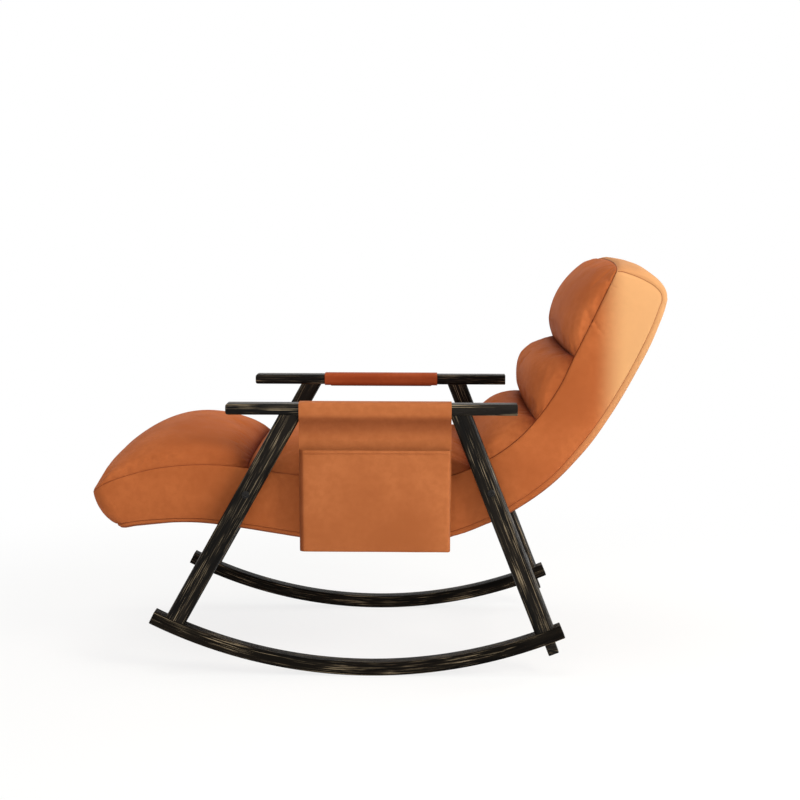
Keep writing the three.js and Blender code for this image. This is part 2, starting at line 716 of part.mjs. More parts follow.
function buildStretcher(place, leg, z) {
  const x = legAxisX(leg, z);
  const shoulder = HALF_WIDTH - LEG.inset - LEG.thickness - FIT_GAP;
  const tenonEnd = shoulder + STRETCHER.tenonLength;
  const rod = crossRod(x, z, STRETCHER.radius, -shoulder, shoulder, STRETCHER.sides);
  const tenons = crossRod(x, z, STRETCHER.tenonRadius, -tenonEnd, tenonEnd, STRETCHER.sides);
  add(`${place}_stretcher`, "wood", rod.add(tenons));
  for (const [name, side] of SIDES) {
    const radius = STRETCHER.tenonRadius + FIT_GAP;
    const bore = crossRod(x, z, radius, side * (shoulder - 2), side * (tenonEnd + 1), STRETCHER.sides);
    cut(`${name}_${place}_leg`, bore);
  }
}

function buildBody() {
  for (const [name, side] of SIDES) {
    add(`${name}_side_wall`, "upholstery", sideWall(side));
    add(`${name}_side_board`, "plywood", sideBoard(side));
  }
  add(FOOT_END.name, "upholstery", endWall(FOOT_END, false));
  add(HEAD_END.name, "upholstery", endWall(HEAD_END, true));
  add("foam_deck", "foam", foamDeck());
  const betweenWalls = BODY.halfWidth - BODY.wall - FIT_GAP;
  const betweenBoards = betweenWalls - FIT_GAP - SIDE_BOARD.thickness;
  const { from, to, top, bottom } = FOOTREST_CORE;
  add("footrest_core", "foam", layer(from, to, top, bottom, betweenBoards));
  BATTEN.at.forEach((distance, k) => {
    add(`cross_batten_${k + 1}`, "plywood", batten(distance, betweenBoards));
  });
  WEBBING.at.forEach((distance, k) => {
    add(`webbing_strap_${k + 1}`, "webbing", webbing(distance, betweenWalls - 2));
  });
  for (const pad of PADS) add(pad.name, "upholstery", frontPad(pad));
  add("back_panel", "upholstery", backPanel());
}

function buildBodyBolts() {
  const boardOuter = BODY.halfWidth - BODY.wall;
  const legInner = HALF_WIDTH - LEG.inset - LEG.thickness;
  for (const [name, side] of SIDES) {
    for (const [place, leg, z] of [["front", FRONT_LEG, FRONT_BOLT_Z], ["rear", REAR_LEG, REAR_BOLT_Z]]) {
      const x = legAxisX(leg, z);
      const bore = crossRod(x, z, BOLT.boreRadius, side * (BOLT.tipFromCentre - 4), side * (HALF_WIDTH + 5));
      cut(`${name}_${place}_leg`, bore);
      cut(`${name}_side_board`, bore);
      const spacerHole = crossRod(x, z, SPACER_RADIUS + FIT_GAP, side * (boardOuter - 5), side * HALF_WIDTH);
      cut(`${name}_side_wall`, spacerHole);
      const spacer = crossRod(x, z, SPACER_RADIUS, side * boardOuter, side * (legInner - FIT_GAP));
      add(`${name}_${place}_spacer`, "steel", spacer.subtract(bore));
      add(`${name}_${place}_seat_bolt`, "steel", seatBolt(side, leg, z));
    }
  }
}

function buildArmLeather() {
  add("right_arm_sleeve", "leather", armCover(RIGHT, SLEEVE.from, SLEEVE.to));
  add("right_sleeve_closure", "webbing", closureStrip(RIGHT, SLEEVE.from, SLEEVE.to));
  const underArm = ARM.top - ARM.height;
  const legFace = HALF_WIDTH - LEG.inset + FIT_GAP;
  const notch = (from, to) => block([(from + to) / 2, 0, underArm - 20], [to - from, 2 * legFace, 40]);
  const wrap = armCover(LEFT, WRAP.from, WRAP.to)
    .subtract(notch(WRAP.from - 20, WRAP.clearOfFrontLeg))
    .subtract(notch(WRAP.clearOfRearLeg, WRAP.to + 20));
  add("left_arm_wrap", "leather", wrap);
  add("left_wrap_closure", "webbing", closureStrip(LEFT, WRAP.clearOfFrontLeg, WRAP.clearOfRearLeg));
  add("pocket_panel", "leather", pocketPanel());
  add("pouch", "leather", pouch());
}

// One mesh from a finished solid.
function meshOf(name) {
  const material = new THREE.MeshStandardMaterial(MATERIALS[materialOf.get(name)]);
  const mesh = new THREE.Mesh(geometryOf(solids.get(name)), material);
  mesh.name = name;
  return mesh;
}

for (const [name, side] of SIDES) buildSideFrame(name, side);
buildStretcher("front", FRONT_LEG, FRONT_STRETCHER_Z);
buildStretcher("rear", REAR_LEG, REAR_STRETCHER_Z);
buildBody();
buildBodyBolts();
buildArmLeather();

// The pocket's group is placed at its hinge line under the left arm rail.
// It leans in until it hangs in balance.
const pocket = new THREE.Group();
pocket.position.set(0, POCKET.hingeY, POCKET.hingeZ);
pocket.rotation.x = radians(POCKET.lean);

const chair = new THREE.Group();
chair.position.set(CENTRE_SHIFT.x, CENTRE_SHIFT.y, 0);
chair.add(pocket);
for (const name of solids.keys()) (POCKET_PIECES.includes(name) ? pocket : chair).add(meshOf(name));

export default chair;
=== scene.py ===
import math

import bmesh
import bpy
import numpy as np
from mathutils import Matrix, Vector, noise


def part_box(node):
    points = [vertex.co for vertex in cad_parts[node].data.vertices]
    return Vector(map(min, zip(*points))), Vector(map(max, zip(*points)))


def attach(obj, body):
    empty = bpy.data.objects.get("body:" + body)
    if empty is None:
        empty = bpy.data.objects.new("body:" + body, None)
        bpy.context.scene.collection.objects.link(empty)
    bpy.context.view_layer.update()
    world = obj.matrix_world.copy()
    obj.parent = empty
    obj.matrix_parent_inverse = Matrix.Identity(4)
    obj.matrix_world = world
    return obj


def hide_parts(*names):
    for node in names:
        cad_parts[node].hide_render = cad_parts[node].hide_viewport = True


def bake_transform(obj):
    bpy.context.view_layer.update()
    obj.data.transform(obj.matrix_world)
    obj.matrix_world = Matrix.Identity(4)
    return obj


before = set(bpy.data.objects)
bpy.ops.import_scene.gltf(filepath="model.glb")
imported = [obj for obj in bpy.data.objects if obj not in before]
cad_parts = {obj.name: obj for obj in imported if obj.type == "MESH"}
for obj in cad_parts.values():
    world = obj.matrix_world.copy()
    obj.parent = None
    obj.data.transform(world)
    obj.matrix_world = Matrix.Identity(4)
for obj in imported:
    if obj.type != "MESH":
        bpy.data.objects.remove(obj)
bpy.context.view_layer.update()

# Sizes are drawn in millimetres from the left runner's lowest point, with y from the middle of the chair.
SHIFT = (-14.5, 6.84, 0.0)
LEFT, RIGHT = -1, 1
SIDES = (("left", LEFT), ("right", RIGHT))
QUARTER_TURN = math.pi / 2

RUNNER_RADIUS, RUNNER_HEIGHT, RUNNER_FRONT_END, RUNNER_REAR_END = 1064, 29, 26.5, 23.1
BAR_WIDTH, OUTER_FACE = 40, 325
LEG_WIDTH, LEG_THICKNESS, LEG_INSET = 43.5, 34, 3
# A leg's middle line passes through x and z and leans by that many degrees; bolt and stretcher are heights on it.
LEGS = {
    "front": dict(x=-173.4, z=553, lean=29.26, bolt=392, stretcher=165),
    "rear": dict(x=237, z=448, lean=-21.34, bolt=398, stretcher=136),
}
ARM_FRONT, ARM_REAR, ARM_TOP, ARM_HEIGHT = -305, 311, 587, 24
ARM_UNDERSIDE = ARM_TOP - ARM_HEIGHT
STOP_ANGLE, STOP_WIDTH, STOP_HEIGHT, STOP_THICKNESS = 21.2, 23, 25, 30
WEBBING_AT, WEBBING_DEPTH, WEBBING_WIDTH = (450, 550, 760, 1010, 1170), 42.2, 50.0

FRONT_SEAM = [
    (-603, 387), (-571, 406), (-538, 419), (-466, 438), (-384, 447), (-302, 445), (-214, 433), (-100, 420), (0, 413),
    (95, 413), (174, 427), (255, 463), (310, 502), (354, 548), (401, 617), (433, 684), (470, 760), (519, 864),
]
BACK_SEAM = [
    (-553, 314.5), (-531, 319.5), (-505, 323.5), (-468, 327), (-413, 330), (-358, 329), (-275, 319), (-176, 304),
    (-60, 291), (60, 289), (160, 301), (240, 330), (312, 369), (384, 423), (434, 477), (482, 539), (538, 631),
    (590, 735), (615.8, 803.6),
]
# The seam that closes the side panel over the head end, from the back seam to the front one.
HEAD_SEAM = [(615.8, 803.6), (614, 817), (602, 831.5), (577, 847), (547, 859), (528, 864.5), (519, 864)]
SEAM_HALF_WIDTH = 270
FOOT_CORNER = 28
# Folds beside the front seam, in the pads and in the wall: the place along the seam and the height above it at both
# ends, then the depth and half width.
PAD_FOLDS = {
    "head_pad": [(1252, 2, 1269, 26, 2.2, 3.0), (1262, 5, 1280, 38, 1.3, 3.0), (1337, 2, 1351, 14, 1.8, 2.4)],
    "footrest_pad": [(84, 8, 106, 27, 0.9, 5.0), (96, 24, 128, 38, 0.7, 7.0)],
    "middle_back_pad": [(1060, 22, 1150, 34, 0.8, 5.0), (1064, 36, 1146, 52, 0.8, 5.0)],
}
WALL_FOLDS = [
    (1254, -2, 1236, -36, 1.8, 3.0), (1247, -8, 1238, -27, 1.2, 2.4), (1338, -2, 1337, -20, 1.6, 2.2),
    (1331, -3, 1328, -13, 1.2, 2.2), (71, -2, 62, -15, 0.8, 3.0), (418, -3, 424, -62, 1.6, 8.0),
]
# How far leather dips into a seam.
ROLL = 1.9
# How far the seam over the head stands above its corners, and how round it is.
HEAD_RISE, HEAD_ROUND = 20, 0.55
# Where each pad starts and ends along the front seam, the heights of its tucks and of its crown, and its form. The
# head pad ends where the seam does.
PADS = {
    "footrest_pad": dict(start=0, end=350, low=0, high=22, crown=73, skew=1.2, power=0.62),
    "seat_pad": dict(start=350, end=838, low=22, high=26, crown=84, skew=1.0, power=0.4),
    "lumbar_pad": dict(start=838, end=1011, low=26, high=18, crown=67, skew=1.2, power=0.5),
    "middle_back_pad": dict(start=1011, end=1169, low=18, high=18, crown=76, skew=1.2, power=0.58),
    "head_pad": dict(start=1169, low=18, high=0, crown=62, skew=0.92, power=0.58),
}
HINGE_Y, HINGE_Z, POCKET_LEAN = -326.3, 557.5, 2.59
WRAP_FROM, WRAP_TO = -150, 172
SLEEVE_FROM, SLEEVE_TO = -134, 143
# The thickness of the hide on the arms, the gap under it at the rails, and where the pocket ends below its hinge.
LEATHER, RAIL_GAP, POUCH_LOW = 2.2, 0.3, 285.5

scene = bpy.context.scene


def metres(points):
    """Drawing points in millimetres as points of the shared frame in metres."""
    return (np.asarray(points, float) + SHIFT) / 1000


def place(x, y, z):
    return Vector(metres((x, y, z)))


# Camera

def set_camera():
    yaw, pitch, roll = -0.0194, 0.1168, 0.0018
    forward = Vector((math.sin(yaw) * math.cos(pitch), math.cos(yaw) * math.cos(pitch), -math.sin(pitch)))
    right = Vector((math.cos(yaw), -math.sin(yaw), 0))
    up = right.cross(forward)
    turned_right = math.cos(roll) * right + math.sin(roll) * up
    turned_up = -math.sin(roll) * right + math.cos(roll) * up
    at = (0.1165, -3.80136, 1.0049)
    data = bpy.data.cameras.new("side_view")
    data.sensor_width, data.lens = 36, 75.15
    camera = bpy.data.objects.new("side_view", data)
    turn = Matrix((turned_right, turned_up, -forward)).transposed().to_4x4()
    camera.matrix_world = Matrix.Translation(at) @ turn
    scene.collection.objects.link(camera)
    scene.camera = camera


# Material building

class Finish:
    """A new material and the short calls that wire its nodes."""

    def __init__(self, name):
        self.material = bpy.data.materials.new(name)
        self.material.use_nodes = True
        self.tree = self.material.node_tree
        self.shader = self.tree.nodes["Principled BSDF"]

    def node(self, kind, **settings):
        made = self.tree.nodes.new(kind)
        for key, value in settings.items():
            setattr(made, key, value)
        return made

    def link(self, source, target):
        self.tree.links.new(source, target)

    def feed(self, target, value):
        if isinstance(value, bpy.types.NodeSocket):
            self.link(value, target)
        else:
            target.default_value = value

    def fill(self, node, **values):
        for key, value in values.items():
            self.feed(node.inputs[key.replace("_", " ")], value)

    def mapped(self, vector, turn=(0, 0, 0), scale=(1, 1, 1), centre=(0, 0, 0)):
        mapping = self.node("ShaderNodeMapping")
        for name, value in (("Location", centre), ("Rotation", turn), ("Scale", scale)):
            mapping.inputs[name].default_value = value
        self.link(vector, mapping.inputs["Vector"])
        return mapping.outputs["Vector"]

    def coordinates(self, **mapping):
        return self.mapped(self.node("ShaderNodeTexCoord").outputs["Object"], **mapping)

    def apart(self, vector):
        made = self.node("ShaderNodeSeparateXYZ")
        self.link(vector, made.inputs[0])
        return made.outputs

    def noise(self, vector, scale, detail=3.0, roughness=0.55, distortion=0.0):
        made = self.node("ShaderNodeTexNoise")
        self.fill(made, Vector=vector, Scale=scale, Detail=detail, Roughness=roughness, Distortion=distortion)
        return made.outputs["Fac"]

    def cells(self, vector, scale, feature="F1"):
        made = self.node("ShaderNodeTexVoronoi", feature=feature)
        self.fill(made, Vector=vector, Scale=scale)
        return made.outputs["Distance"]

    def waves(self, scale, direction, distortion=0.0):
        made = self.node("ShaderNodeTexWave", bands_direction=direction)
        self.fill(made, Vector=self.coordinates(), Scale=scale, Distortion=distortion)
        return made.outputs["Fac"]

    def spread(self, value, low, high, to_low=0.0, to_high=1.0):
        made = self.node("ShaderNodeMapRange", interpolation_type="SMOOTHSTEP")
        self.fill(made, Value=value, From_Min=low, From_Max=high, To_Min=to_low, To_Max=to_high)
        return made.outputs["Result"]

    def sums(self, operation, first, second=0.0):
        made = self.node("ShaderNodeMath", operation=operation)
        self.feed(made.inputs[0], first)
        self.feed(made.inputs[1], second)
        return made.outputs["Value"]

    def scaled(self, value, by, plus=None):
        times = self.sums("MULTIPLY", value, by)
        return times if plus is None else self.sums("ADD", times, plus)

    def blend(self, share, first, second):
        """A mix of two colours; a mix node has its colour sockets after those for numbers and vectors."""
        made = self.node("ShaderNodeMix", data_type="RGBA")
        for socket, value in ((0, share), (6, first), (7, second)):
            self.feed(made.inputs[socket], value)
        return made.outputs[2]

    def bump(self, height, distance, strength, below=None):
        made = self.node("ShaderNodeBump")
        self.fill(made, Height=height, Distance=distance, Strength=strength)
        if below is not None:
            self.link(below, made.inputs["Normal"])
        return made.outputs["Normal"]

    def set(self, **values):
        self.fill(self.shader, **values)


def colour(red, green, blue):
    """A colour read off as 0 to 255, as the linear value that a shader wants."""
    def linear(level):
        level /= 255
        return level / 12.92 if level <= 0.04045 else ((level + 0.055) / 1.055) ** 2.4
    return (linear(red), linear(green), linear(blue), 1)


# A pale tan painted in as a highlight towards the head end, and a dark red painted in as shade in seams, folds and
# under things.
PAINTED_HIGHLIGHT_TAN, FOLD_SHADE = colour(226, 182, 128), colour(80, 20, 8)
# The wood's dark ground, its broad bands and the pale lines in its open pores.
STAIN = (colour(8, 7, 6), colour(24, 20, 16), colour(142, 127, 104))


def leather_finish(name, light, deep, grain=1.0, painted_highlight=None):
    """Leather; painted_highlight says where along the chair a painted highlight starts to pale it towards the head end,
    where that ends, and how far it goes.
    """
    made = Finish(name)
    spot = made.coordinates()
    cloud = made.spread(made.noise(spot, 5.0, 4), 0.3, 0.7)
    mottle = made.spread(made.noise(spot, 80.0, 5, 0.6), 0.34, 0.68)
    worn = made.spread(made.noise(spot, 16.0, 3, 0.6), 0.35, 0.75)
    pore_depth = made.spread(made.cells(spot, 950, "DISTANCE_TO_EDGE"), 0.0, 0.22)
    tone = made.blend(cloud, light, deep)
    tone = made.blend(made.scaled(mottle, 0.42), tone, deep)
    tone = made.blend(made.scaled(made.sums("SUBTRACT", 1.0, pore_depth), 0.22), tone, deep)
    # Painted highlight: the leather pales to a light tan towards the head end.
    if painted_highlight:
        start, end, share = painted_highlight
        tone = made.blend(made.spread(made.apart(spot)[0], start, end, 0.0, share), tone, PAINTED_HIGHLIGHT_TAN)
    # Painted shade: the tuck attribute darkens the leather towards dark red in seams, tucks, folds and under things.
    folds = made.node("ShaderNodeAttribute", attribute_name="tuck")
    tone = made.blend(made.scaled(folds.outputs["Fac"], 0.9), tone, FOLD_SHADE)
    wide = made.bump(made.noise(spot, 26, 3, 0.6), 0.0016, 0.5)
    fine = made.bump(pore_depth, 0.00022, 0.55 * grain, wide)
    hair = made.bump(made.noise(spot, 900, 2), 0.00015, 0.5, fine)
    made.set(Base_Color=tone, Roughness=made.scaled(worn, 0.12, 0.6), Specular_IOR_Level=0.04, Normal=hair)
    return made.material


def wood_streaks(made, along, gloss, shine):
    """Colour and grain for stained open-pored wood; the vector runs along the grain in x."""
    def stretched(along_grain, across_grain):
        return made.mapped(along, scale=(along_grain, across_grain, across_grain))
    dark, mid, pale = STAIN
    broad = made.noise(stretched(2.2, 34), 1.6, 3, 0.55, 0.3)
    streak = made.noise(stretched(8, 600), 1.0, 3, 0.6, 0.1)
    fibre = made.noise(stretched(24, 1500), 1.0, 2, 0.6)
    patch = made.noise(stretched(8, 60), 1.0, 2)
    tone = made.blend(made.spread(broad, 0.34, 0.68), dark, mid)
    amount = made.sums("MULTIPLY", made.spread(streak, 0.55, 0.64), made.spread(patch, 0.38, 0.58))
    tone = made.blend(made.scaled(amount, 0.9), tone, pale)
    tone = made.blend(made.spread(fibre, 0.52, 0.74, 0.0, 0.4), tone, dark)
    grooves = made.bump(made.spread(streak, 0.36, 0.62), 0.0005, 0.6)
    made.set(
        Base_Color=tone,
        Roughness=made.sums("ADD", made.spread(streak, 0.3, 0.7, 0.0, 0.16), gloss),
        Specular_IOR_Level=shine,
        Normal=made.bump(fibre, 0.0002, 0.5, grooves),
    )
    return made.material


def stained_wood(name, turn=(0, 0, 0)):
    made = Finish(name)
    return wood_streaks(made, made.coordinates(turn=turn), 0.26, 0.07)


def bent_wood(name):
    """The same stain with its grain bent along the runner."""
    made = Finish(name)
    x, y, z = made.apart(made.coordinates(centre=tuple(-c for c in place(0, 0, RUNNER_RADIUS))))
    angle = made.sums("ARCTAN2", x, made.scaled(z, -1.0))
    radius = made.sums("SQRT", made.sums("ADD", made.sums("MULTIPLY", x, x), made.sums("MULTIPLY", z, z)))
    together = made.node("ShaderNodeCombineXYZ")
    for socket, value in zip(together.inputs, (made.scaled(angle, RUNNER_RADIUS / 1000), y, radius)):
        made.link(value, socket)
    return wood_streaks(made, together.outputs[0], 0.32, 0.02)


def steel_finish():
    made = Finish("blackened_steel")
    spot = made.coordinates()
    rub = made.spread(made.noise(spot, 420, 4), 0.4, 0.75)
    made.set(
        Base_Color=made.blend(rub, colour(14, 13, 13), colour(40, 37, 34)),
        Roughness=made.scaled(rub, -0.12, 0.5),
        Metallic=0.7,
        Normal=made.bump(made.noise(spot, 1500, 2), 0.0001, 0.4),
    )
    return made.material


def plain_wood(name, pale, dark, layers=0):
    """Beech, or plywood where it has layers."""
    made = Finish(name)
    ring = made.spread(made.noise(made.coordinates(scale=(6, 90, 90)), 1.2, 4, 0.6, 0.4), 0.35, 0.7)
    tone = made.blend(ring, pale, dark)
    if layers:
        tone = made.blend(made.scaled(made.waves(layers, "Y", 0.6), 0.5), tone, dark)
    made.set(Base_Color=tone, Roughness=made.scaled(ring, 0.1, 0.55), Normal=made.bump(ring, 0.0003, 0.5))
    return made.material


def even_finish(name, pattern, tones, roughness, relief, **extra):
    """A finish of two tones whose colour, roughness and relief all follow the pattern that is made for it."""
    made = Finish(name)
    share = pattern(made)
    distance, strength = relief
    made.set(
        Base_Color=made.blend(share, *tones),
        Roughness=made.scaled(share, 0.1, roughness),
        Normal=made.bump(share, distance, strength),
        **extra,
    )
    return made.material


def foam_finish():
    def holes(made):
        return made.spread(made.cells(made.coordinates(), 620), 0.1, 0.5)
    return even_finish("foam", holes, (colour(205, 192, 160), colour(228, 219, 192)), 0.85, (0.0006, 0.8))


def webbing_finish(name, *tones):
    def twill(made):
        return made.waves(260, "DIAGONAL")
    return even_finish(name, twill, tones, 0.78, (0.0005, 0.7))


def thread_finish(name, *tones):
    def twist(made):
        return made.spread(made.noise(made.coordinates(), 2400, 2), 0.35, 0.65)
    return even_finish(name, twist, tones, 0.6, (0.0002, 0.6), Specular_IOR_Level=0.08)


# Working on a mesh

def put_down():
    if bpy.context.mode != "OBJECT":
        bpy.ops.object.mode_set(mode="OBJECT")
    bpy.ops.object.select_all(action="DESELECT")


def take(piece):
    put_down()
    piece.hide_set(False)
    piece.select_set(True)
    bpy.context.view_layer.objects.active = piece


def settle(piece, turn=(0, 0, 0), at=(0, 0, 0)):
    """Turns a piece about its own middle, moves it to its place and leaves that in the mesh."""
    take(piece)
    piece.rotation_euler = turn
    piece.location = at
    bpy.ops.object.transform_apply(location=True, rotation=True, scale=True)
    return piece


def choose(piece, kind, wanted=lambda element: True):
    """Opens a piece for editing with only the wanted vertices, edges or faces selected, or all of them."""
    take(piece)
    bpy.ops.object.mode_set(mode="EDIT")
    bpy.ops.mesh.select_mode(type={"verts": "VERT", "edges": "EDGE", "faces": "FACE"}[kind])
    bpy.ops.mesh.select_all(action="DESELECT")
    mesh = bmesh.from_edit_mesh(piece.data)
    for element in getattr(mesh, kind):
        if wanted(element):
            element.select_set(True)
    mesh.select_flush_mode()
    bmesh.update_edit_mesh(piece.data)


def bevel(piece, wanted, width, segments=4):
    choose(piece, "edges", wanted)
    bpy.ops.mesh.bevel(offset=width, offset_type="OFFSET", segments=segments, profile=0.5, affect="EDGES")
    put_down()


def slice_off(piece, at, normal):
    """Cuts away what lies beyond a plane and closes the cut."""
    choose(piece, "verts")
    bpy.ops.mesh.bisect(plane_co=at, plane_no=normal, use_fill=True, clear_outer=True)
    put_down()


def stepped(piece, wanted, inset, rise):
    """Insets the wanted face and moves the face inside it up by that many metres."""
    choose(piece, "faces", wanted)
    bpy.ops.mesh.inset(thickness=inset)
    bpy.ops.mesh.extrude_region_move(TRANSFORM_OT_translate={"value": (0, 0, rise)})
    put_down()


def round_off(piece, angle=40):
    """Smooth shading across all edges that turn by less than the angle."""
    take(piece)
    bpy.ops.object.shade_smooth_by_angle(angle=math.radians(angle))
    put_down()


def finish(piece, material, body="chair", replaces=()):
    piece.data.materials.clear()
    piece.data.materials.append(material)
    if body:
        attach(piece, body)
    if replaces:
        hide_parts(*replaces)
    return piece


def stain(piece, material, name):
    """The last steps for a wooden piece that takes the place of its node."""
    round_off(piece)
    return finish(piece, material, replaces=[name])


def named(name, size=(1000, 1000, 1000)):
    """The primitive that was just added, with its name and size."""
    piece = bpy.context.active_object
    piece.name = piece.data.name = name
    piece.scale = [s / 1000 for s in size]
    bpy.ops.object.transform_apply(location=False, rotation=False, scale=True)
    return piece


def box_of(name, size):
    put_down()
    bpy.ops.mesh.primitive_cube_add(size=1)
    return named(name, size)


def rod_of(name, radius, depth, sides=48):
    put_down()
    bpy.ops.mesh.primitive_cylinder_add(vertices=sides, radius=radius / 1000, depth=depth / 1000)
    return named(name)


def runs_along(axis):
    def wanted(edge):
        across = edge.verts[1].co - edge.verts[0].co
        return abs(across[axis]) > 0.95 * across.length
    return wanted


def lies_level(edge):
    return abs(edge.verts[0].co.z - edge.verts[1].co.z) < 1e-6


# Side frames

def bar_middle(side, width, face=OUTER_FACE):
    return side * (face - width / 2)


def runner(name, side, material):
    """A bent board: its section, with rounded corners, is spun about the runner's centre."""
    corner, across_end, steps = 0.005, 0.03, 84
    middle = RUNNER_RADIUS - RUNNER_HEIGHT / 2
    def on_middle_line(angle):
        height = RUNNER_RADIUS - middle * math.cos(angle)
        return place(-middle * math.sin(angle), bar_middle(side, BAR_WIDTH), height)
    put_down()
    bpy.ops.mesh.primitive_plane_add(size=1)
    piece = named(f"{name}_bent", (RUNNER_HEIGHT, BAR_WIDTH, 1000))
    choose(piece, "verts")
    bpy.ops.mesh.bevel(offset=corner, segments=4, affect="VERTICES")
    front, rear = math.radians(RUNNER_FRONT_END), -math.radians(RUNNER_REAR_END)
    settle(piece, (0, QUARTER_TURN + front, 0), on_middle_line(front))
    choose(piece, "faces")
    sweep = math.radians(RUNNER_FRONT_END + RUNNER_REAR_END)
    bpy.ops.mesh.spin(steps=steps, angle=sweep, center=place(0, 0, RUNNER_RADIUS), axis=(0, 1, 0))
    put_down()
    choose(piece, "verts")
    bpy.ops.mesh.remove_doubles(threshold=0.00002)
    bpy.ops.mesh.fill_holes(sides=0)
    bpy.ops.mesh.normals_make_consistent(inside=False)
    put_down()
    ends = []
    for angle in (front, rear):
        outward = Vector((-math.cos(angle), 0, math.sin(angle))) * (1 if angle > 0 else -1)
        ends.append((on_middle_line(angle), outward))
    def at_an_end(edge):
        halfway = (edge.verts[0].co + edge.verts[1].co) / 2
        for spot, outward in ends:
            if abs((halfway - spot).dot(outward)) < 0.0002 and (halfway - spot).length < across_end:
                return len(edge.link_faces) == 2
        return False
    bevel(piece, at_an_end, 0.0012, 2)
    return stain(piece, material, name)


def leg_axis(leg, z):
    return leg["x"] + math.tan(math.radians(leg["lean"])) * (z - leg["z"])


def foot_of(leg):
    """Where a leg's middle line meets the runner's upper face, and the direction out of the runner there."""
    low, high = 0.0, 400.0
    for _ in range(40):
        z = (low + high) / 2
        reach = math.hypot(leg_axis(leg, z), RUNNER_RADIUS - z)
        low, high = (z, high) if reach > RUNNER_RADIUS - RUNNER_HEIGHT else (low, z)
    x = leg_axis(leg, z)
    inward = Vector((-x, 0, RUNNER_RADIUS - z)).normalized()
    return x, z, inward


def leg_bar(name, side, leg, material):
    """A leaning bar, cut level under the arm rail and square to the curve on the runner."""
    uncut, middle_height = 760, 320
    piece = box_of(f"{name}_bar", (LEG_WIDTH, LEG_THICKNESS, uncut))
    bevel(piece, runs_along(2), 0.0085, 6)
    y = bar_middle(side, LEG_THICKNESS, OUTER_FACE - LEG_INSET)
    at = place(leg_axis(leg, middle_height), y, middle_height)
    settle(piece, (0, math.radians(leg["lean"]), 0), at)
    slice_off(piece, place(0, 0, ARM_UNDERSIDE), (0, 0, 1))
    x, z, inward = foot_of(leg)
    slice_off(piece, place(x, 0, z), -inward)
    return stain(piece, material, name)


def arm_rail(name, side, material):
    """A flat bar, well rounded at its front end and along its edges."""
    length = ARM_REAR - ARM_FRONT
    piece = box_of(f"{name}_bar", (length, BAR_WIDTH, ARM_HEIGHT))
    rear_face = length / 2000 - 0.0001
    bevel(piece, lambda e: runs_along(1)(e) and e.verts[0].co.x < 0, 0.006)
    bevel(piece, runs_along(0), 0.0045, 5)
    bevel(piece, lambda e: all(v.co.x > rear_face for v in e.verts), 0.0015, 2)
    settle(piece, at=place((ARM_FRONT + ARM_REAR) / 2, bar_middle(side, BAR_WIDTH), ARM_TOP - ARM_HEIGHT / 2))
    return stain(piece, material, name)


def rear_stop(name, material):
    piece = box_of(f"{name}_block", (STOP_WIDTH, STOP_THICKNESS, STOP_HEIGHT))
    bevel(piece, lambda e: True, 0.002, 3)
    low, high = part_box(name)
    settle(piece, (0, -math.radians(STOP_ANGLE), 0), (low + high) / 2)
    return stain(piece, material, name)


def stretcher(name, leg, material):
    """A round bar between the legs, with a thinner tenon at each end."""
    radius, shoulder, tenon = 11, 0.004, 0.015
    reach = 2 * (OUTER_FACE - LEG_INSET - LEG_THICKNESS)
    piece = rod_of(f"{name}_rod", radius, reach + 1)
    bevel(piece, lies_level, 0.0006, 2)
    for end in (-1, 1):
        stepped(piece, lambda f: f.normal.z * end > 0.99 and len(f.verts) > 20, shoulder, end * tenon)
    settle(piece, (QUARTER_TURN, 0, 0), place(leg_axis(leg, leg["stretcher"]), 0, leg["stretcher"]))
    return stain(piece, material, name)


def bolt_cap(name, side, leg, material):
    """A low domed cap with a round recess, on its shank."""
    radius, height, dome = 8, 3.2, 0.002
    piece = rod_of(f"{name}_cap", radius, height)
    bevel(piece, lambda e: all(v.co.z > 0.001 for v in e.verts), dome)
    stepped(piece, lambda f: f.normal.z > 0.99, 0.0028, -0.0016)
    stepped(piece, lambda f: f.normal.z < -0.99 and f.calc_center_median().z < -0.0015, 0.0042, -0.078)
    y = side * (OUTER_FACE - LEG_INSET + height / 2)
    settle(piece, (-side * QUARTER_TURN, 0, 0), place(leg_axis(leg, leg["bolt"]), y, leg["bolt"]))
    round_off(piece, 30)
    return finish(piece, material, replaces=[name])


def spacer(name, material):
    """A short steel tube between a leg and the side of the seat."""
    low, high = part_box(name)
    piece = rod_of(f"{name}_tube", 12, (high.y - low.y) * 1000, 40)
    bevel(piece, lies_level, 0.0012, 3)
    settle(piece, (QUARTER_TURN, 0, 0), (low + high) / 2)
    round_off(piece)
    return finish(piece, material, replaces=[name])


def dress(name, material):
    """Gives a CAD node that stays as it is its finish."""
    for material_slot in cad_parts[name].material_slots:
        material_slot.material = material


# Seat body

def lengths_along(points):
    """The distance from the first point to each of them, or down each column of a grid."""
    steps = np.linalg.norm(np.diff(points, axis=0), axis=-1)
    return np.concatenate([np.zeros((1, *steps.shape[1:])), np.cumsum(steps, axis=0)])


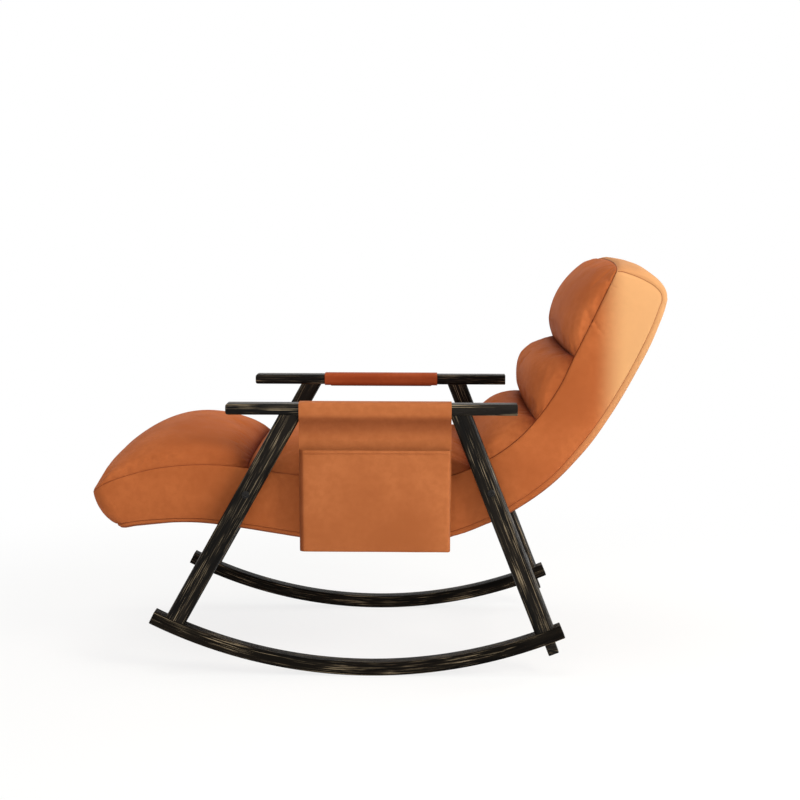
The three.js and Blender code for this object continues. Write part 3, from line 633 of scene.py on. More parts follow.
class SeamLine:
    """A seam seen from the side, by the distance along it; height is measured out of the body."""

    def __init__(self, points, outward):
        self.outward = outward
        line = []
        for i in range(len(points) - 1):
            line.extend(self.span(points, i))
        self.line = np.array(line + [points[-1]], float)
        self.distances = lengths_along(self.line)
        self.length = self.distances[-1]

    @staticmethod
    def span(points, i, steps=24):
        """Places on a smooth curve from one point to the next, which four points in a row steer."""
        p = [np.array(points[k], float) if 0 <= k < len(points) else None for k in (i - 1, i, i + 1, i + 2)]
        p[0] = 2 * p[1] - p[2] if p[0] is None else p[0]
        p[3] = 2 * p[2] - p[1] if p[3] is None else p[3]
        t = [np.linalg.norm(p[k + 1] - p[k]) ** 0.5 for k in range(3)]
        leave = ((p[1] - p[0]) / t[0] - (p[2] - p[0]) / (t[0] + t[1]) + (p[2] - p[1]) / t[1]) * t[1]
        arrive = ((p[2] - p[1]) / t[1] - (p[3] - p[1]) / (t[1] + t[2]) + (p[3] - p[2]) / t[2]) * t[1]
        for k in range(steps):
            u = k / steps
            yield (
                p[1] + leave * u + (-3 * p[1] + 3 * p[2] - 2 * leave - arrive) * u ** 2
                + (2 * p[1] - 2 * p[2] + leave + arrive) * u ** 3
            )

    def point(self, distance):
        return np.array([np.interp(distance, self.distances, self.line[:, k]) for k in (0, 1)])

    def tangent(self, distance, reach=3):
        near, far = (np.clip(distance + step, 0, self.length) for step in (-reach, reach))
        along = self.point(far) - self.point(near)
        return along / np.linalg.norm(along, axis=0)

    def normal(self, distance):
        along = self.tangent(distance)
        return np.array([-along[1], along[0]]) * self.outward

    def at(self, distance, height=0.0):
        """The place at a height over the seam; past its ends the seam goes straight on."""
        inside = np.clip(distance, 0, self.length)
        return self.point(inside) + self.tangent(inside) * (distance - inside) + self.normal(inside) * height


front_seam = SeamLine(FRONT_SEAM, 1)
back_seam = SeamLine(BACK_SEAM, -1)
head_seam = SeamLine(HEAD_SEAM, 1)
PADS["head_pad"]["end"] = front_seam.length


def swelled(across, power):
    """How far a pad has risen at a share of the half width: full in the middle and nothing at the seam."""
    return np.maximum(0, 1 - np.abs(across) ** 2.6) ** power


def spaced(low, high, count, closeness=1.0):
    """Places from low to high, closer together at both ends."""
    even = np.linspace(0, 1, count + 1)
    close = 0.5 - 0.5 * np.cos(np.pi * even)
    return low + (high - low) * (closeness * close + (1 - closeness) * even)


def eased(value, low, high):
    share = np.clip((value - low) / (high - low), 0, 1)
    return share * share * (3 - 2 * share)


def half_width(distance, inside=0.0):
    """Half the width between the seams, or between lines that far inside them: rounded corners at the foot end."""
    to_round = FOOT_CORNER - np.minimum(distance, FOOT_CORNER)
    return SEAM_HALF_WIDTH - FOOT_CORNER + np.sqrt(np.maximum(0, (FOOT_CORNER - inside) ** 2 - to_round ** 2))


def grid_faces(rows, columns, closed=False):
    faces = []
    last = columns if closed else columns - 1
    for i in range(rows - 1):
        for j in range(last):
            k = (j + 1) % columns
            faces.append((i * columns + j, i * columns + k, (i + 1) * columns + k, (i + 1) * columns + j))
    return faces


def mesh_of(name, points, faces, tuck=None):
    """A mesh from drawing points; tuck says how much painted shade each of them takes, from 0 to 1, as in a seam or
    fold.
    """
    mesh = bpy.data.meshes.new(name)
    mesh.from_pydata([tuple(p) for p in metres(points)], [], faces)
    mesh.update()
    if tuck is not None:
        mesh.attributes.new("tuck", "FLOAT", "POINT").data.foreach_set("value", np.asarray(tuck, float).ravel())
    piece = bpy.data.objects.new(name, mesh)
    scene.collection.objects.link(piece)
    return piece


def edge_shade(grid, reach, strength):
    """Painted shade by how near each point of a grid is to its edges: strength at an edge and next to nothing past
    twice the reach.
    """
    def from_ends(lines):
        along = lengths_along(lines)
        return np.minimum(along, along[-1] - along)
    nearest = np.minimum(from_ends(grid), from_ends(np.swapaxes(grid, 0, 1)).T)
    return strength * np.exp(-(nearest / reach) ** 1.5)


def surface(name, grid, tuck=None):
    """A mesh of quads from a grid of drawing points."""
    return mesh_of(name, grid.reshape(-1, 3), grid_faces(*grid.shape[:2]), tuck)


def facing_out(piece):
    choose(piece, "faces")
    bpy.ops.mesh.remove_doubles(threshold=0.000001)
    bpy.ops.mesh.normals_make_consistent(inside=False)
    put_down()
    return piece


def doubled(grid):
    """The same surface with twice the rows and columns, on smooth curves through its points."""
    for axis in (0, 1):
        grid = np.swapaxes(grid, 0, axis)
        between = (grid[:-1] + grid[1:]) / 2
        between[2:-2] = (9 * (grid[2:-3] + grid[3:-2]) - grid[1:-4] - grid[4:-1]) / 16
        made = np.empty((2 * len(grid) - 1, *grid.shape[1:]))
        made[::2], made[1::2] = grid, between
        grid = np.swapaxes(made, 0, axis)
    return grid


def plumped(grid, cap, spare, frames=20):
    """Blows a sewn-down sheet up a little, as stuffing does, so that its spare leather puckers at the seams.

    The cap is how far a point may move at most, in millimetres, and spare is the share of leather to spare.
    """
    piece = surface("cloth", grid)
    rows, columns = grid.shape[:2]
    numbers = np.arange(rows * columns).reshape(rows, columns)
    inner = set(numbers[1:-1, 1:-1].ravel().tolist())
    sewn = piece.vertex_groups.new(name="sewn")
    sewn.add([number for number in numbers.ravel().tolist() if number not in inner], 1.0, "REPLACE")
    take(piece)
    modifier = piece.modifiers.new("cloth", "CLOTH")
    cloth = dict(
        quality=6, mass=0.4, tension_stiffness=30, compression_stiffness=30, shear_stiffness=15, bending_stiffness=1.2,
        air_damping=2, use_pressure=True, uniform_pressure_force=4.0, shrink_min=-spare, vertex_group_mass="sewn",
    )
    for key, value in cloth.items():
        setattr(modifier.settings, key, value)
    modifier.settings.effector_weights.gravity = 0
    modifier.point_cache.frame_end = frames
    for frame_number in range(1, frames + 1):
        scene.frame_set(frame_number)
    bpy.ops.object.modifier_apply(modifier=modifier.name)
    swollen = np.zeros(rows * columns * 3)
    piece.data.vertices.foreach_get("co", swollen)
    swollen = (swollen.reshape(rows, columns, 3) * 1000) - SHIFT
    bpy.data.objects.remove(piece)
    scene.frame_set(1)
    move = swollen - grid
    length = np.linalg.norm(move, axis=2, keepdims=True)
    return grid + move * np.minimum(1, cap / np.maximum(length, 1e-9))


def face_outward(grid, middle):
    """The grid with its rows in the order that makes its faces look away from a middle point."""
    along, across = grid[1:, :-1] - grid[:-1, :-1], grid[:-1, 1:] - grid[:-1, :-1]
    normals = np.cross(across, along)
    out = ((grid[:-1, :-1] - middle(grid[:-1, :-1])) * normals).sum()
    return grid if out > 0 else grid[::-1]


def pad_grid(sizes, columns=72):
    """The top of one puffed pad: it rises from the seams at its sides and rolls into the tucks at its ends."""
    start, end, gap = sizes["start"], sizes["end"], 0.5
    at_foot, at_head = start == 0, end == front_seam.length
    first, last = start + (0 if at_foot else gap), end - (0 if at_head else gap)
    rows = spaced(first, last, max(26, int((end - start) / 7)), 0.88)
    across = np.sin(np.pi * (np.linspace(0, 1, columns + 1) - 0.5))
    shares = (rows - first) / (last - first)
    tuck = sizes["low"] + (sizes["high"] - sizes["low"]) * shares
    swell = np.maximum(0, np.sin(np.pi * shares ** sizes["skew"])) ** sizes["power"]
    grid = []
    for i, distance in enumerate(rows):
        height = (tuck[i] + (sizes["crown"] - tuck[i]) * swell[i]) * swelled(across, 0.45)
        dip = ROLL * np.exp(-(height / ROLL) ** 2)
        forward = 0 * across
        if at_foot:
            overhang = 7 * np.exp(-((height - 16) / 13) ** 2) * (1 - eased(shares[i], 0.02, 0.16))
            forward = dip * (1 - eased(shares[i], 0, 0.3)) - overhang
        if at_head:
            forward = HEAD_RISE * shares[i] ** 4 * swelled(across, HEAD_ROUND) - dip * eased(shares[i], 0.7, 1)
        x, z = front_seam.at(distance + forward, height)
        grid.append(np.stack([x, across * (half_width(distance) - dip), z], axis=1))
    return np.array(grid)


def closed_pad(name, grid, at_foot, at_head):
    """A pad's top with its ends taken down to the seams' level and its underside joined across."""
    along = lengths_along(grid)
    from_start, from_end = along, along[-1] - along
    # A grid that was turned to face outwards runs from the head end.
    if grid[0, :, 0].mean() > grid[-1, :, 0].mean():
        from_start, from_end = from_end, from_start
    # Painted shade at the pad's edges and in its tucks, widest at its end towards the head, where the next pad casts
    # its shadow.
    tuck = edge_shade(grid, 3, 0.2)
    if not at_foot:
        tuck = np.maximum(tuck, 0.8 * np.exp(-(from_start / 14) ** 1.2))
    if not at_head:
        tuck = np.maximum(tuck, np.exp(-(from_end / 30) ** 1.2))
    tuck = np.array([tuck[0], tuck[0], *tuck, tuck[-1], tuck[-1]])
    def lowered(row):
        ends = np.stack([row[0], row[-1]])[:, [0, 2]].mean(axis=0)
        base = row.copy()
        base[:, 0] += ends[0] - row[:, 0]
        base[:, 2] += ends[1] - row[:, 2]
        return base
    first, last = lowered(grid[0]), lowered(grid[-1])
    halfway = [(first + grid[0]) / 2, (last + grid[-1]) / 2]
    grid = np.array([first, halfway[0], *grid, halfway[1], last])
    count, wide = grid.shape[:2]
    faces = grid_faces(count, wide)
    for i in range(count - 1):
        faces.append((i * wide, (i + 1) * wide, (i + 2) * wide - 1, (i + 1) * wide - 1))
    piece = facing_out(mesh_of(name, grid.reshape(-1, 3), faces, tuck))
    choose(piece, "edges", lambda e: e.is_boundary)
    bpy.ops.mesh.edge_face_add()
    put_down()
    facing_out(piece)
    round_off(piece, 50)
    return piece


def ripple(grid, size, seed):
    """Soft unevenness between -1 and 1 at each point of a grid, of about that size in millimetres."""
    offset = Vector((seed * 7.13, seed * 3.71, seed * 1.37))
    flat = grid.reshape(-1, 3) / size
    return np.array([noise.noise(Vector(p) + offset) for p in flat]).reshape(grid.shape[:2])


def normals_of(grid):
    along = np.gradient(grid, axis=0)
    across = np.gradient(grid, axis=1)
    normals = np.cross(across, along)
    return normals / np.maximum(np.linalg.norm(normals, axis=2, keepdims=True), 1e-9)


def uneven(grid, amount, size, seed, sewn=6):
    """Moves a grid's points a little along their normals, less in the rows and columns next to its sewn edges."""
    def from_edges(count):
        places = np.arange(count)
        return np.minimum(1, np.minimum(places, places[::-1]) / sewn)
    still = np.minimum.outer(*(from_edges(count) for count in grid.shape[:2]))
    return grid + normals_of(grid) * (amount * still * ripple(grid, size, seed))[:, :, None]


def folded(grid, folds):
    """Presses folds into both sides of a grid whose faces point outwards, each with a low ridge on either hand."""
    sunk = np.zeros(grid.shape[:2])
    at_side = eased(np.abs(grid[..., 1]), 215, 245)
    for start, low, end, high, depth, width in folds:
        first, last = front_seam.at(start, low), front_seam.at(end, high)
        length = np.hypot(*(last - first))
        along = (last - first) / length
        x, z = grid[..., 0] - first[0], grid[..., 2] - first[1]
        reach = (x * along[0] + z * along[1]) / length
        aside = (x * along[1] - z * along[0]) / width
        strength = eased(reach, -0.12, 0.1) * (1 - eased(reach, 0.35, 1.15))
        valley = np.exp(-aside ** 2) - 0.35 * np.exp(-(np.abs(aside) - 2.1) ** 2)
        sunk += depth * strength * valley
    return grid - normals_of(grid) * (sunk * at_side)[:, :, None]


def side_bulge(distance):
    """How far the side wall swells: more towards the head."""
    return 5.5 + 7.5 * eased(distance, 1000, 1280)


def rolled(from_edge):
    """How far a panel has turned in towards a seam at a distance from it."""
    return ROLL * (1 - np.sqrt(np.maximum(0, 1 - np.maximum(0, 1 - from_edge / ROLL) ** 2)))


def boxing_grid():
    """The wall: left side, round the foot end, and right side, between the front and back seams.

    Each column is a distance along both seams, a place across and how far it has turned from the foot end.
    """
    length = front_seam.length
    scale = (back_seam.length - FOOT_CORNER) / (length - FOOT_CORNER)
    straight = SEAM_HALF_WIDTH - FOOT_CORNER
    columns = []
    for distance in spaced(FOOT_CORNER, length, 190, 0.12)[::-1]:
        columns.append((distance, FOOT_CORNER + (distance - FOOT_CORNER) * scale, SEAM_HALF_WIDTH, QUARTER_TURN))
    for turn in np.linspace(QUARTER_TURN, 0, 15)[1:]:
        from_end = FOOT_CORNER * (1 - math.cos(turn))
        columns.append((from_end, from_end, straight + FOOT_CORNER * math.sin(turn), turn))
    columns += [(0.0, 0.0, y, 0.0) for y in np.linspace(straight, 0, 30)[1:]]
    columns = [(f, b, -y, t) for f, b, y, t in columns] + columns[::-1][1:]
    down = spaced(0, 1, 24, 0.85)
    hump = np.sin(np.pi * down ** 0.72)
    foot = np.array(BACK_SEAM[0], float) - FRONT_SEAM[0]
    foot /= np.linalg.norm(foot)
    grid = []
    for from_front, from_back, y, turn in columns:
        top, bottom = front_seam.at(from_front), back_seam.at(from_back)
        line = top + (bottom - top) * down[:, None]
        # Near the head the wall's end takes the line of the head seam.
        near_head = float(eased(from_front, length - 150, length))
        if near_head > 0:
            edge = head_seam.point((1 - down) * head_seam.length).T
            head_front, head_back = front_seam.at(length), back_seam.at(back_seam.length)
            line = line + (edge - head_front - (head_back - head_front) * down[:, None]) * near_head
        side = math.copysign(1, y)
        outward = np.array([foot[1] * math.cos(turn), side * math.sin(turn), -foot[0] * math.cos(turn)])
        at_end = float(swelled(y / (SEAM_HALF_WIDTH + 40), 0.25)) * math.cos(turn)
        to_head = max(0.0, length - from_front)
        rise = side_bulge(from_front) * hump ** 0.7 * (1 - at_end) * min(1.0, to_head / 45) ** 0.5
        rise = rise + at_end * 13 * np.sin(np.pi * down ** 1.1) ** 0.6
        roll = np.maximum(rolled(np.minimum(down, 1 - down) * np.linalg.norm(bottom - top)), rolled(to_head))
        flat = np.stack([line[:, 0], np.full(len(down), y), line[:, 1]], axis=1)
        grid.append(flat + outward * (rise - roll)[:, None])
    return np.array(grid)


def cover_grid():
    """The panel of the back and underside, which runs on over the head end to the front seam."""
    along_back = np.concatenate([[0, 0.5, 1.4, 2.8], spaced(4.5, back_seam.length, 180, 0.2)])
    over = np.linspace(0, head_seam.length, 34)[1:]
    edge = np.array([back_seam.at(s) for s in along_back] + [head_seam.at(s) for s in over])
    outs = np.array([back_seam.normal(s) for s in along_back] + [-head_seam.normal(s) for s in over])
    reach = lengths_along(edge)
    corner = reach[len(along_back) - 1]
    # The way out turns smoothly, most of all round the head's corner. It starts nearly straight down at the foot end
    # and ends along the front seam.
    smooth = []
    for distance in reach:
        width = 26 if abs(distance - corner) < 70 else 8
        weight = np.exp(-((reach - distance) / width) ** 2)
        smooth.append((outs * weight[:, None]).sum(axis=0))
    smooth = np.array(smooth)
    smooth /= np.linalg.norm(smooth, axis=1)[:, None]
    starting = 1 - eased(reach, 0, 25)[:, None]
    smooth = smooth * (1 - starting) + np.array([-0.1, -0.995]) * starting
    ending = eased(reach, reach[-1] - 30, reach[-1])[:, None]
    smooth = smooth * (1 - ending) + front_seam.tangent(front_seam.length) * ending
    smooth /= np.linalg.norm(smooth, axis=1)[:, None]
    low, high = 20, 25
    crown = low + (high - low) * eased(reach, 700, 950) - (high - HEAD_RISE) * eased(reach, reach[-1] - 50, reach[-1])
    crown = crown * np.minimum(1, reach / 13) ** 0.6 * (1 - 0.1 * np.exp(-((reach - corner - 8) / 22) ** 2))
    power = 0.25 + (HEAD_ROUND - 0.25) * eased(reach, reach[-1] - 60, reach[-1])
    dip_at_ends = ROLL * (np.exp(-(reach / ROLL) ** 2) + np.exp(-((reach[-1] - reach) / ROLL) ** 2))
    across = np.sin(np.pi * (np.linspace(0, 1, 89) - 0.5))
    grid = []
    for k, distance in enumerate(reach):
        height = crown[k] * swelled(across, power[k])
        half = half_width(distance) - ROLL * np.exp(-(height / ROLL) ** 2)
        height = height - dip_at_ends[k]
        shift = edge[k][:, None] + smooth[k][:, None] * height
        grid.append(np.stack([shift[0], across * half, shift[1]], axis=1))
    return np.array(grid)


def inside_body(points):
    """Points inside the seat body, level with surface points, for turning faces outward."""
    gaps = np.hypot(front_seam.line[:, 0] - points[..., :1], front_seam.line[:, 1] - points[..., 2:])
    share = front_seam.distances[np.argmin(gaps, axis=-1)] / front_seam.length
    middle = (front_seam.point(share * front_seam.length) + back_seam.point(share * back_seam.length)) / 2
    return np.stack([middle[0], 0.9 * points[..., 1], middle[1]], axis=-1)


def padded_sheet(name, grid, thickness):
    """A closed form made from its outer surface and an inner one at that thickness, shaded at seams and below."""
    # Painted shade on faces that turn down, as under the foot end, together with that at the seams.
    underside = 0.55 * eased(-normals_of(grid)[..., 2], 0.45, 0.9)
    piece = surface(name, grid, np.maximum(edge_shade(grid, 3, 0.15), underside))
    thicken(piece, thickness)
    round_off(piece, 50)
    return piece


def thicken(piece, thickness, outward=False):
    """Gives a surface its thickness in millimetres, on its outer or its inner side."""
    take(piece)
    modifier = piece.modifiers.new("thickness", "SOLIDIFY")
    modifier.thickness = thickness / 1000
    modifier.offset = 1 if outward else -1
    bpy.ops.object.modifier_apply(modifier=modifier.name)
    put_down()
    return piece


def seam_cord(name, line, radius, material, sides=6):
    """A thin rounded line of folded leather at the bottom of a seam."""
    line = np.array(line, float)
    tangents = np.gradient(line, axis=0)
    tangents /= np.linalg.norm(tangents, axis=1)[:, None]
    across = np.cross(tangents, (0.05, 0.3, 1.0))
    across /= np.linalg.norm(across, axis=1)[:, None]
    other = np.cross(tangents, across)
    turns = [2 * math.pi * k / sides for k in range(sides)]
    rings = np.stack([line + radius * (math.cos(a) * across + math.sin(a) * other) for a in turns], axis=1)
    faces = grid_faces(len(line), sides, closed=True)
    faces.append(tuple(range(sides)))
    faces.append(tuple(range((len(line) - 1) * sides, len(line) * sides)))
    piece = facing_out(mesh_of(name, rings.reshape(-1, 3), faces))
    round_off(piece, 60)
    return finish(piece, material)


def body_seams(front_material, back_material):
    """The cords in all the body's seams, and in the tucks between the pads, dark as painted shade."""
    depth = ROLL + 0.2
    def side_line(seam, side):
        places = np.concatenate([np.linspace(depth, FOOT_CORNER, 14), np.linspace(FOOT_CORNER, seam.length, 230)[1:]])
        x, z = seam.at(places)
        return np.stack([x, side * half_width(places, depth), z], axis=1)
    over_x, over_z = head_seam.at(np.linspace(0, head_seam.length, 40)[1:-1])
    # The front seam's cord is paler as far as the middle of the seat, and thicker and darker from there up, all as
    # painted shade.
    seat_middle = 109
    for name, side in SIDES:
        front_line = side_line(front_seam, side)
        seam_cord(f"{name}_front_seam", front_line[:seat_middle + 1], 0.8, back_material)
        seam_cord(f"{name}_upper_seam", front_line[seat_middle:], 0.9, front_material)
        over = np.stack([over_x, np.full(len(over_x), side * (SEAM_HALF_WIDTH - depth)), over_z], axis=1)
        seam_cord(f"{name}_back_seam", np.concatenate([side_line(back_seam, side), over]), 0.7, back_material)
    across = np.sin(np.linspace(-QUARTER_TURN, QUARTER_TURN, 120))
    x, z = front_seam.at(front_seam.length + HEAD_RISE * swelled(across, HEAD_ROUND) - depth, 0 * across)
    seam_cord("head_cross_seam", np.stack([x, across * (SEAM_HALF_WIDTH - depth), z], axis=1), 1.0, front_material)
    straight = np.linspace(-1, 1, 60) * (SEAM_HALF_WIDTH - FOOT_CORNER)
    for name, seam in (("front", front_seam), ("back", back_seam)):
        x, z = seam.at(depth + 0 * straight, 0 * straight)
        seam_cord(f"foot_{name}_seam", np.stack([x, straight, z], axis=1), 0.7, back_material)
    for name in list(PADS)[:-1]:
        height = (PADS[name]["high"] - 6) * swelled(across, 0.45)
        x, z = front_seam.at(PADS[name]["end"] + 0 * across, height)
        line = np.stack([x, across * (SEAM_HALF_WIDTH - depth), z], axis=1)
        seam_cord(f"{name}_tuck", line, 1.5, front_material)


# Lamps, floor and backdrop

def lamp(name, at, aim, size, power, tint=(1, 1, 1)):
    data = bpy.data.lights.new(name, "AREA")
    data.shape = "RECTANGLE"
    data.size, data.size_y = size
    data.energy = power
    data.color = tint
    piece = bpy.data.objects.new(name, data)
    piece.location = at
    piece.rotation_mode = "QUATERNION"
    piece.rotation_quaternion = (Vector(aim) - Vector(at)).to_track_quat("-Z", "Y")
    scene.collection.objects.link(piece)
    return piece


def backdrop_rays(tree):
    """1 for the rays that see the backdrop: the camera's, and those that glossy and clear faces send on."""
    rays = tree.nodes.new("ShaderNodeLightPath")
    seen = rays.outputs["Is Camera Ray"]
    for kind in ("Is Glossy Ray", "Is Transmission Ray"):
        either = tree.nodes.new("ShaderNodeMath")
        either.operation = "MAXIMUM"
        tree.links.new(seen, either.inputs[0])
        tree.links.new(rays.outputs[kind], either.inputs[1])
        seen = either.outputs[0]
    return seen


def studio():
    """White to look at, a soft light on the chair, five lamps, and a floor that keeps the chair's shadow."""
    world = bpy.data.worlds.new("studio")
    scene.world = world
    world.use_nodes = True
    tree = world.node_tree
    tree.nodes.clear()
    mix = tree.nodes.new("ShaderNodeMixShader")
    tree.links.new(backdrop_rays(tree), mix.inputs[0])
    for socket, tint, strength in ((1, (1, 0.98, 0.96, 1), 0.4), (2, (1, 1, 1, 1), 1.0)):
        light = tree.nodes.new("ShaderNodeBackground")
        light.inputs["Color"].default_value = tint
        light.inputs["Strength"].default_value = strength
        tree.links.new(light.outputs[0], mix.inputs[socket])
    tree.links.new(mix.outputs[0], tree.nodes.new("ShaderNodeOutputWorld").inputs["Surface"])

    lamp("key", (2.2, -2.1, 2.0), (0.2, 0, 0.5), (1.3, 1.3), 72, (1, 0.97, 0.86))
    lamp("rim", (2.6, 1.2, 1.3), (0.3, 0, 0.6), (1.0, 1.8), 30, (1, 0.97, 0.88))
    strip = lamp("strip", (3.0, -0.5, 0.8), (0.25, -0.3, 0.35), (0.9, 1.4), 150)
    strip.visible_diffuse = False
    lamp("top", (-0.5, -0.3, 3.2), (0, 0, 0.5), (2.4, 2.0), 40, (1, 0.98, 0.92))
    lamp("fill", (-0.6, -4.2, 1.6), (0, 0, 0.4), (2.5, 2.0), 37)

    put_down()
    bpy.ops.mesh.primitive_circle_add(vertices=96, radius=26, fill_type="NGON", location=(0, 0, -0.0005))
    floor = bpy.context.active_object
    floor.name = "floor"
    made = Finish("floor")
    made.set(Base_Color=(0.9, 0.9, 0.9, 1), Roughness=0.9)
    from_middle = made.node("ShaderNodeVectorMath", operation="LENGTH")
    made.link(made.coordinates(), from_middle.inputs[0])
    share = made.spread(from_middle.outputs["Value"], 0.75, 1.9, 0.8, 1.0)
    mix = made.node("ShaderNodeMixShader")
    made.link(made.sums("MULTIPLY", share, backdrop_rays(made.tree)), mix.inputs[0])
    made.link(made.shader.outputs[0], mix.inputs[1])
    made.link(made.node("ShaderNodeEmission").outputs[0], mix.inputs[2])
    made.link(mix.outputs[0], made.tree.nodes["Material Output"].inputs["Surface"])
    floor.data.materials.append(made.material)


# Arm leather

def rail_section(side, growth):
    """Points round the rail's section, from under its inner edge by the inner side and the top to its outer edge."""
    corner = 5.0
    radius = corner + growth
    inner, outer = side * (OUTER_FACE - BAR_WIDTH + corner), side * (OUTER_FACE - corner)
    low, high = ARM_UNDERSIDE + corner, ARM_TOP - corner
    section = []
    for y, z, turn in ((inner, low, 1.5), (inner, high, 1.0), (outer, high, 0.5), (outer, low, 0.0)):
        for angle in np.linspace(turn, turn - 0.5, 8) * math.pi:
            section.append((y + side * radius * math.cos(angle), z + radius * math.sin(angle)))
    return section


def along_rail(section, x1, x2, spacing=4.0):
    """A sheet with that section from x1 to x2, in even steps, and its flat width and length in metres."""
    section = np.array(section, float)
    reach = lengths_along(section)
    even = np.linspace(0, reach[-1], int(round(reach[-1] / spacing)) + 1)
    ys, zs = (np.interp(even, reach, section[:, k]) for k in (0, 1))
    xs = np.linspace(x1, x2, int((x2 - x1) / spacing) + 1)
    grid = np.array([[(x, y, z) for x in xs] for y, z in zip(ys, zs)])
    return grid, (abs(x2 - x1) / 1000, reach[-1] / 1000)


def pocket_frame(out, down):
    """A place in the hanging pocket's own plane: out from the panel's middle and down from the hinge."""
    lean = math.radians(POCKET_LEAN)
    y = HINGE_Y + down * math.sin(lean) - out * math.cos(lean)
    z = HINGE_Z - down * math.cos(lean) - out * math.sin(lean)
    return y, z


def level_with(side):
    """Middle points for turning arm leather outward: the rail's own middle line, and the seat for what hangs."""
    def middle(points):
        under = points[..., 2:] < ARM_UNDERSIDE
        y = np.where(under, side * 200.0, side * (OUTER_FACE - BAR_WIDTH / 2)) + 0 * points[..., :1]
        z = np.where(under, points[..., 2:], ARM_TOP - ARM_HEIGHT / 2)
        return np.concatenate([points[..., :1], y, z], axis=-1)
    return middle


def leather_sheet(name, grid, side, thickness=LEATHER, shade=None):
    """A hide of that thickness; shade gives the painted shade at the points of its grid, as in a fold, at an edge or
    under the rail.
    """
    grid = face_outward(grid, level_with(side))
    piece = surface(name, grid, shade(grid) if shade else None)
    thicken(piece, thickness, outward=True)
    round_off(piece, 50)
    return piece


def left_wrap_and_panel(material):
    """One hide goes round the rail and hangs down beside it as the pocket's back; under the rail it is shorter."""
    start = [(LEFT * (OUTER_FACE - 9), ARM_UNDERSIDE - RAIL_GAP)]
    hang = [
        (-325.5, 569), (-325.4, 562), (-324.0, 555.5), (-320.2, 548.5), (-317.8, 541), (-317.9, 533), (-320.0, 522),
        pocket_frame(-1.2, 46),
    ]
    section = start + rail_section(LEFT, RAIL_GAP)[:-8] + [tuple(p) for p in SeamLine(hang, 1).line[::4]]
    section += [pocket_frame(-1.2, down) for down in np.linspace(52, POUCH_LOW, 50)]
    grid, flat = along_rail(section, WRAP_FROM, WRAP_TO)
    share = (grid[..., 0] - WRAP_FROM) / (WRAP_TO - WRAP_FROM)
    under_from, under_length = -137.5, 301
    under_rail = (grid[..., 2] < ARM_UNDERSIDE + 1) & (grid[..., 1] > -OUTER_FACE + 8)
    grid[..., 0] = np.where(under_rail, under_from + under_length * share, grid[..., 0])
    # Painted shadow of the rail: a dark band on the outer hide just under it.
    def shade(points):
        z = points[..., 2]
        return 0.5 * eased(z, 500, 546) * (1 - eased(z, 555, 566)) * (points[..., 1] < -OUTER_FACE + 12)
    piece = leather_sheet("arm_wrap_and_panel", grid, LEFT, shade=shade)
    finish(piece, material, body=None, replaces=["left_arm_wrap", "pocket_panel"])
    place(0, HINGE_Y, 560)
    place(0, HINGE_Y, 540)
    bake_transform(piece)


def pouch(material, thread):
    """The pouch's front and narrow sides in one hide, with a turned and stitched mouth."""
    out, back, puff = 14.2, 1.6, 1.8
    x1, x2, low, high = -147.5, 168.5, POUCH_LOW, 66.5
    left_rim, right_rim, low_rim, hem = 9.0, 3.0, 3.0, 8.0
    rim = 1 - np.cos(np.linspace(0, QUARTER_TURN, 10))
    face = np.linspace(x1 + left_rim, x2 - right_rim, 76)[1:-1]
    xs = np.concatenate([x1 + left_rim * rim, face, (x2 - right_rim * rim)[::-1]])
    mouth = high + np.array([0, 1, 2, 3.8, 5.6, 7.0, 7.6, 8.0, 8.5, 9.2, 10.4, 12.4])
    below = np.linspace(high + 14, low - low_rim, 50)
    across, down = np.meshgrid(xs, np.concatenate([mouth, below, (low - low_rim * rim)[::-1][1:]]))
    def risen(distance, reach):
        return np.sqrt(np.maximum(0, 1 - np.maximum(0, 1 - distance / reach) ** 2))
    share = risen(across - x1, left_rim) * risen(x2 - across, right_rim) * risen(low - down, low_rim)
    pillow = np.sin(np.pi * (across - x1) / (x2 - x1)).clip(0) ** 0.6 * np.minimum(1, (down - high) / 90 + 0.15)
    pillow *= np.minimum(1, (low - down) / 45)
    turned = 0.7 * (1 - eased(down - high, hem - 0.6, hem)) - 0.5 * np.exp(-((down - high - hem - 0.5) / 0.8) ** 2)
    y, z = pocket_frame(back + (out - back + puff * pillow + turned) * share, down)
    grid = np.stack([across, y, z], axis=2)
    # Painted shade on the pouch's left rim, which turns away from the light.
    def shade(points):
        return 0.55 * (1 - eased(points[..., 0] - x1, 0.6 * left_rim, left_rim + 1.5))
    grid = uneven(grid, amount=0.5, size=60, seed=11)
    piece = leather_sheet("pouch_front", grid, LEFT, thickness=2.0, shade=shade)
    finish(piece, material, body="pocket", replaces=["pouch"])
    row = []
    for x in np.arange(x1 + 12, x2 - 10, 4.2):
        lift = puff * 0.2 * math.sin(math.pi * (x - x1) / (x2 - x1)) ** 0.6
        row.append((x, *pocket_frame(out + lift + 2.7, high + 5.8)))
    stitches("mouth_stitches", row, along=(1, 0, 0), outward=(0, -1, 0), length=3.0, radius=0.5, material=thread)


def right_sleeve(material):
    """A short sleeve round the other rail; its edges meet over the closing strip underneath."""
    below = ARM_UNDERSIDE - RAIL_GAP
    first, last = (RIGHT * (OUTER_FACE - 27), below), (RIGHT * (OUTER_FACE - 26), below)
    grid, flat = along_rail([first, *rail_section(RIGHT, RAIL_GAP), last], SLEEVE_FROM, SLEEVE_TO, 3.0)
    piece = leather_sheet("right_sleeve", grid, RIGHT)
    finish(piece, material, replaces=["right_arm_sleeve"])


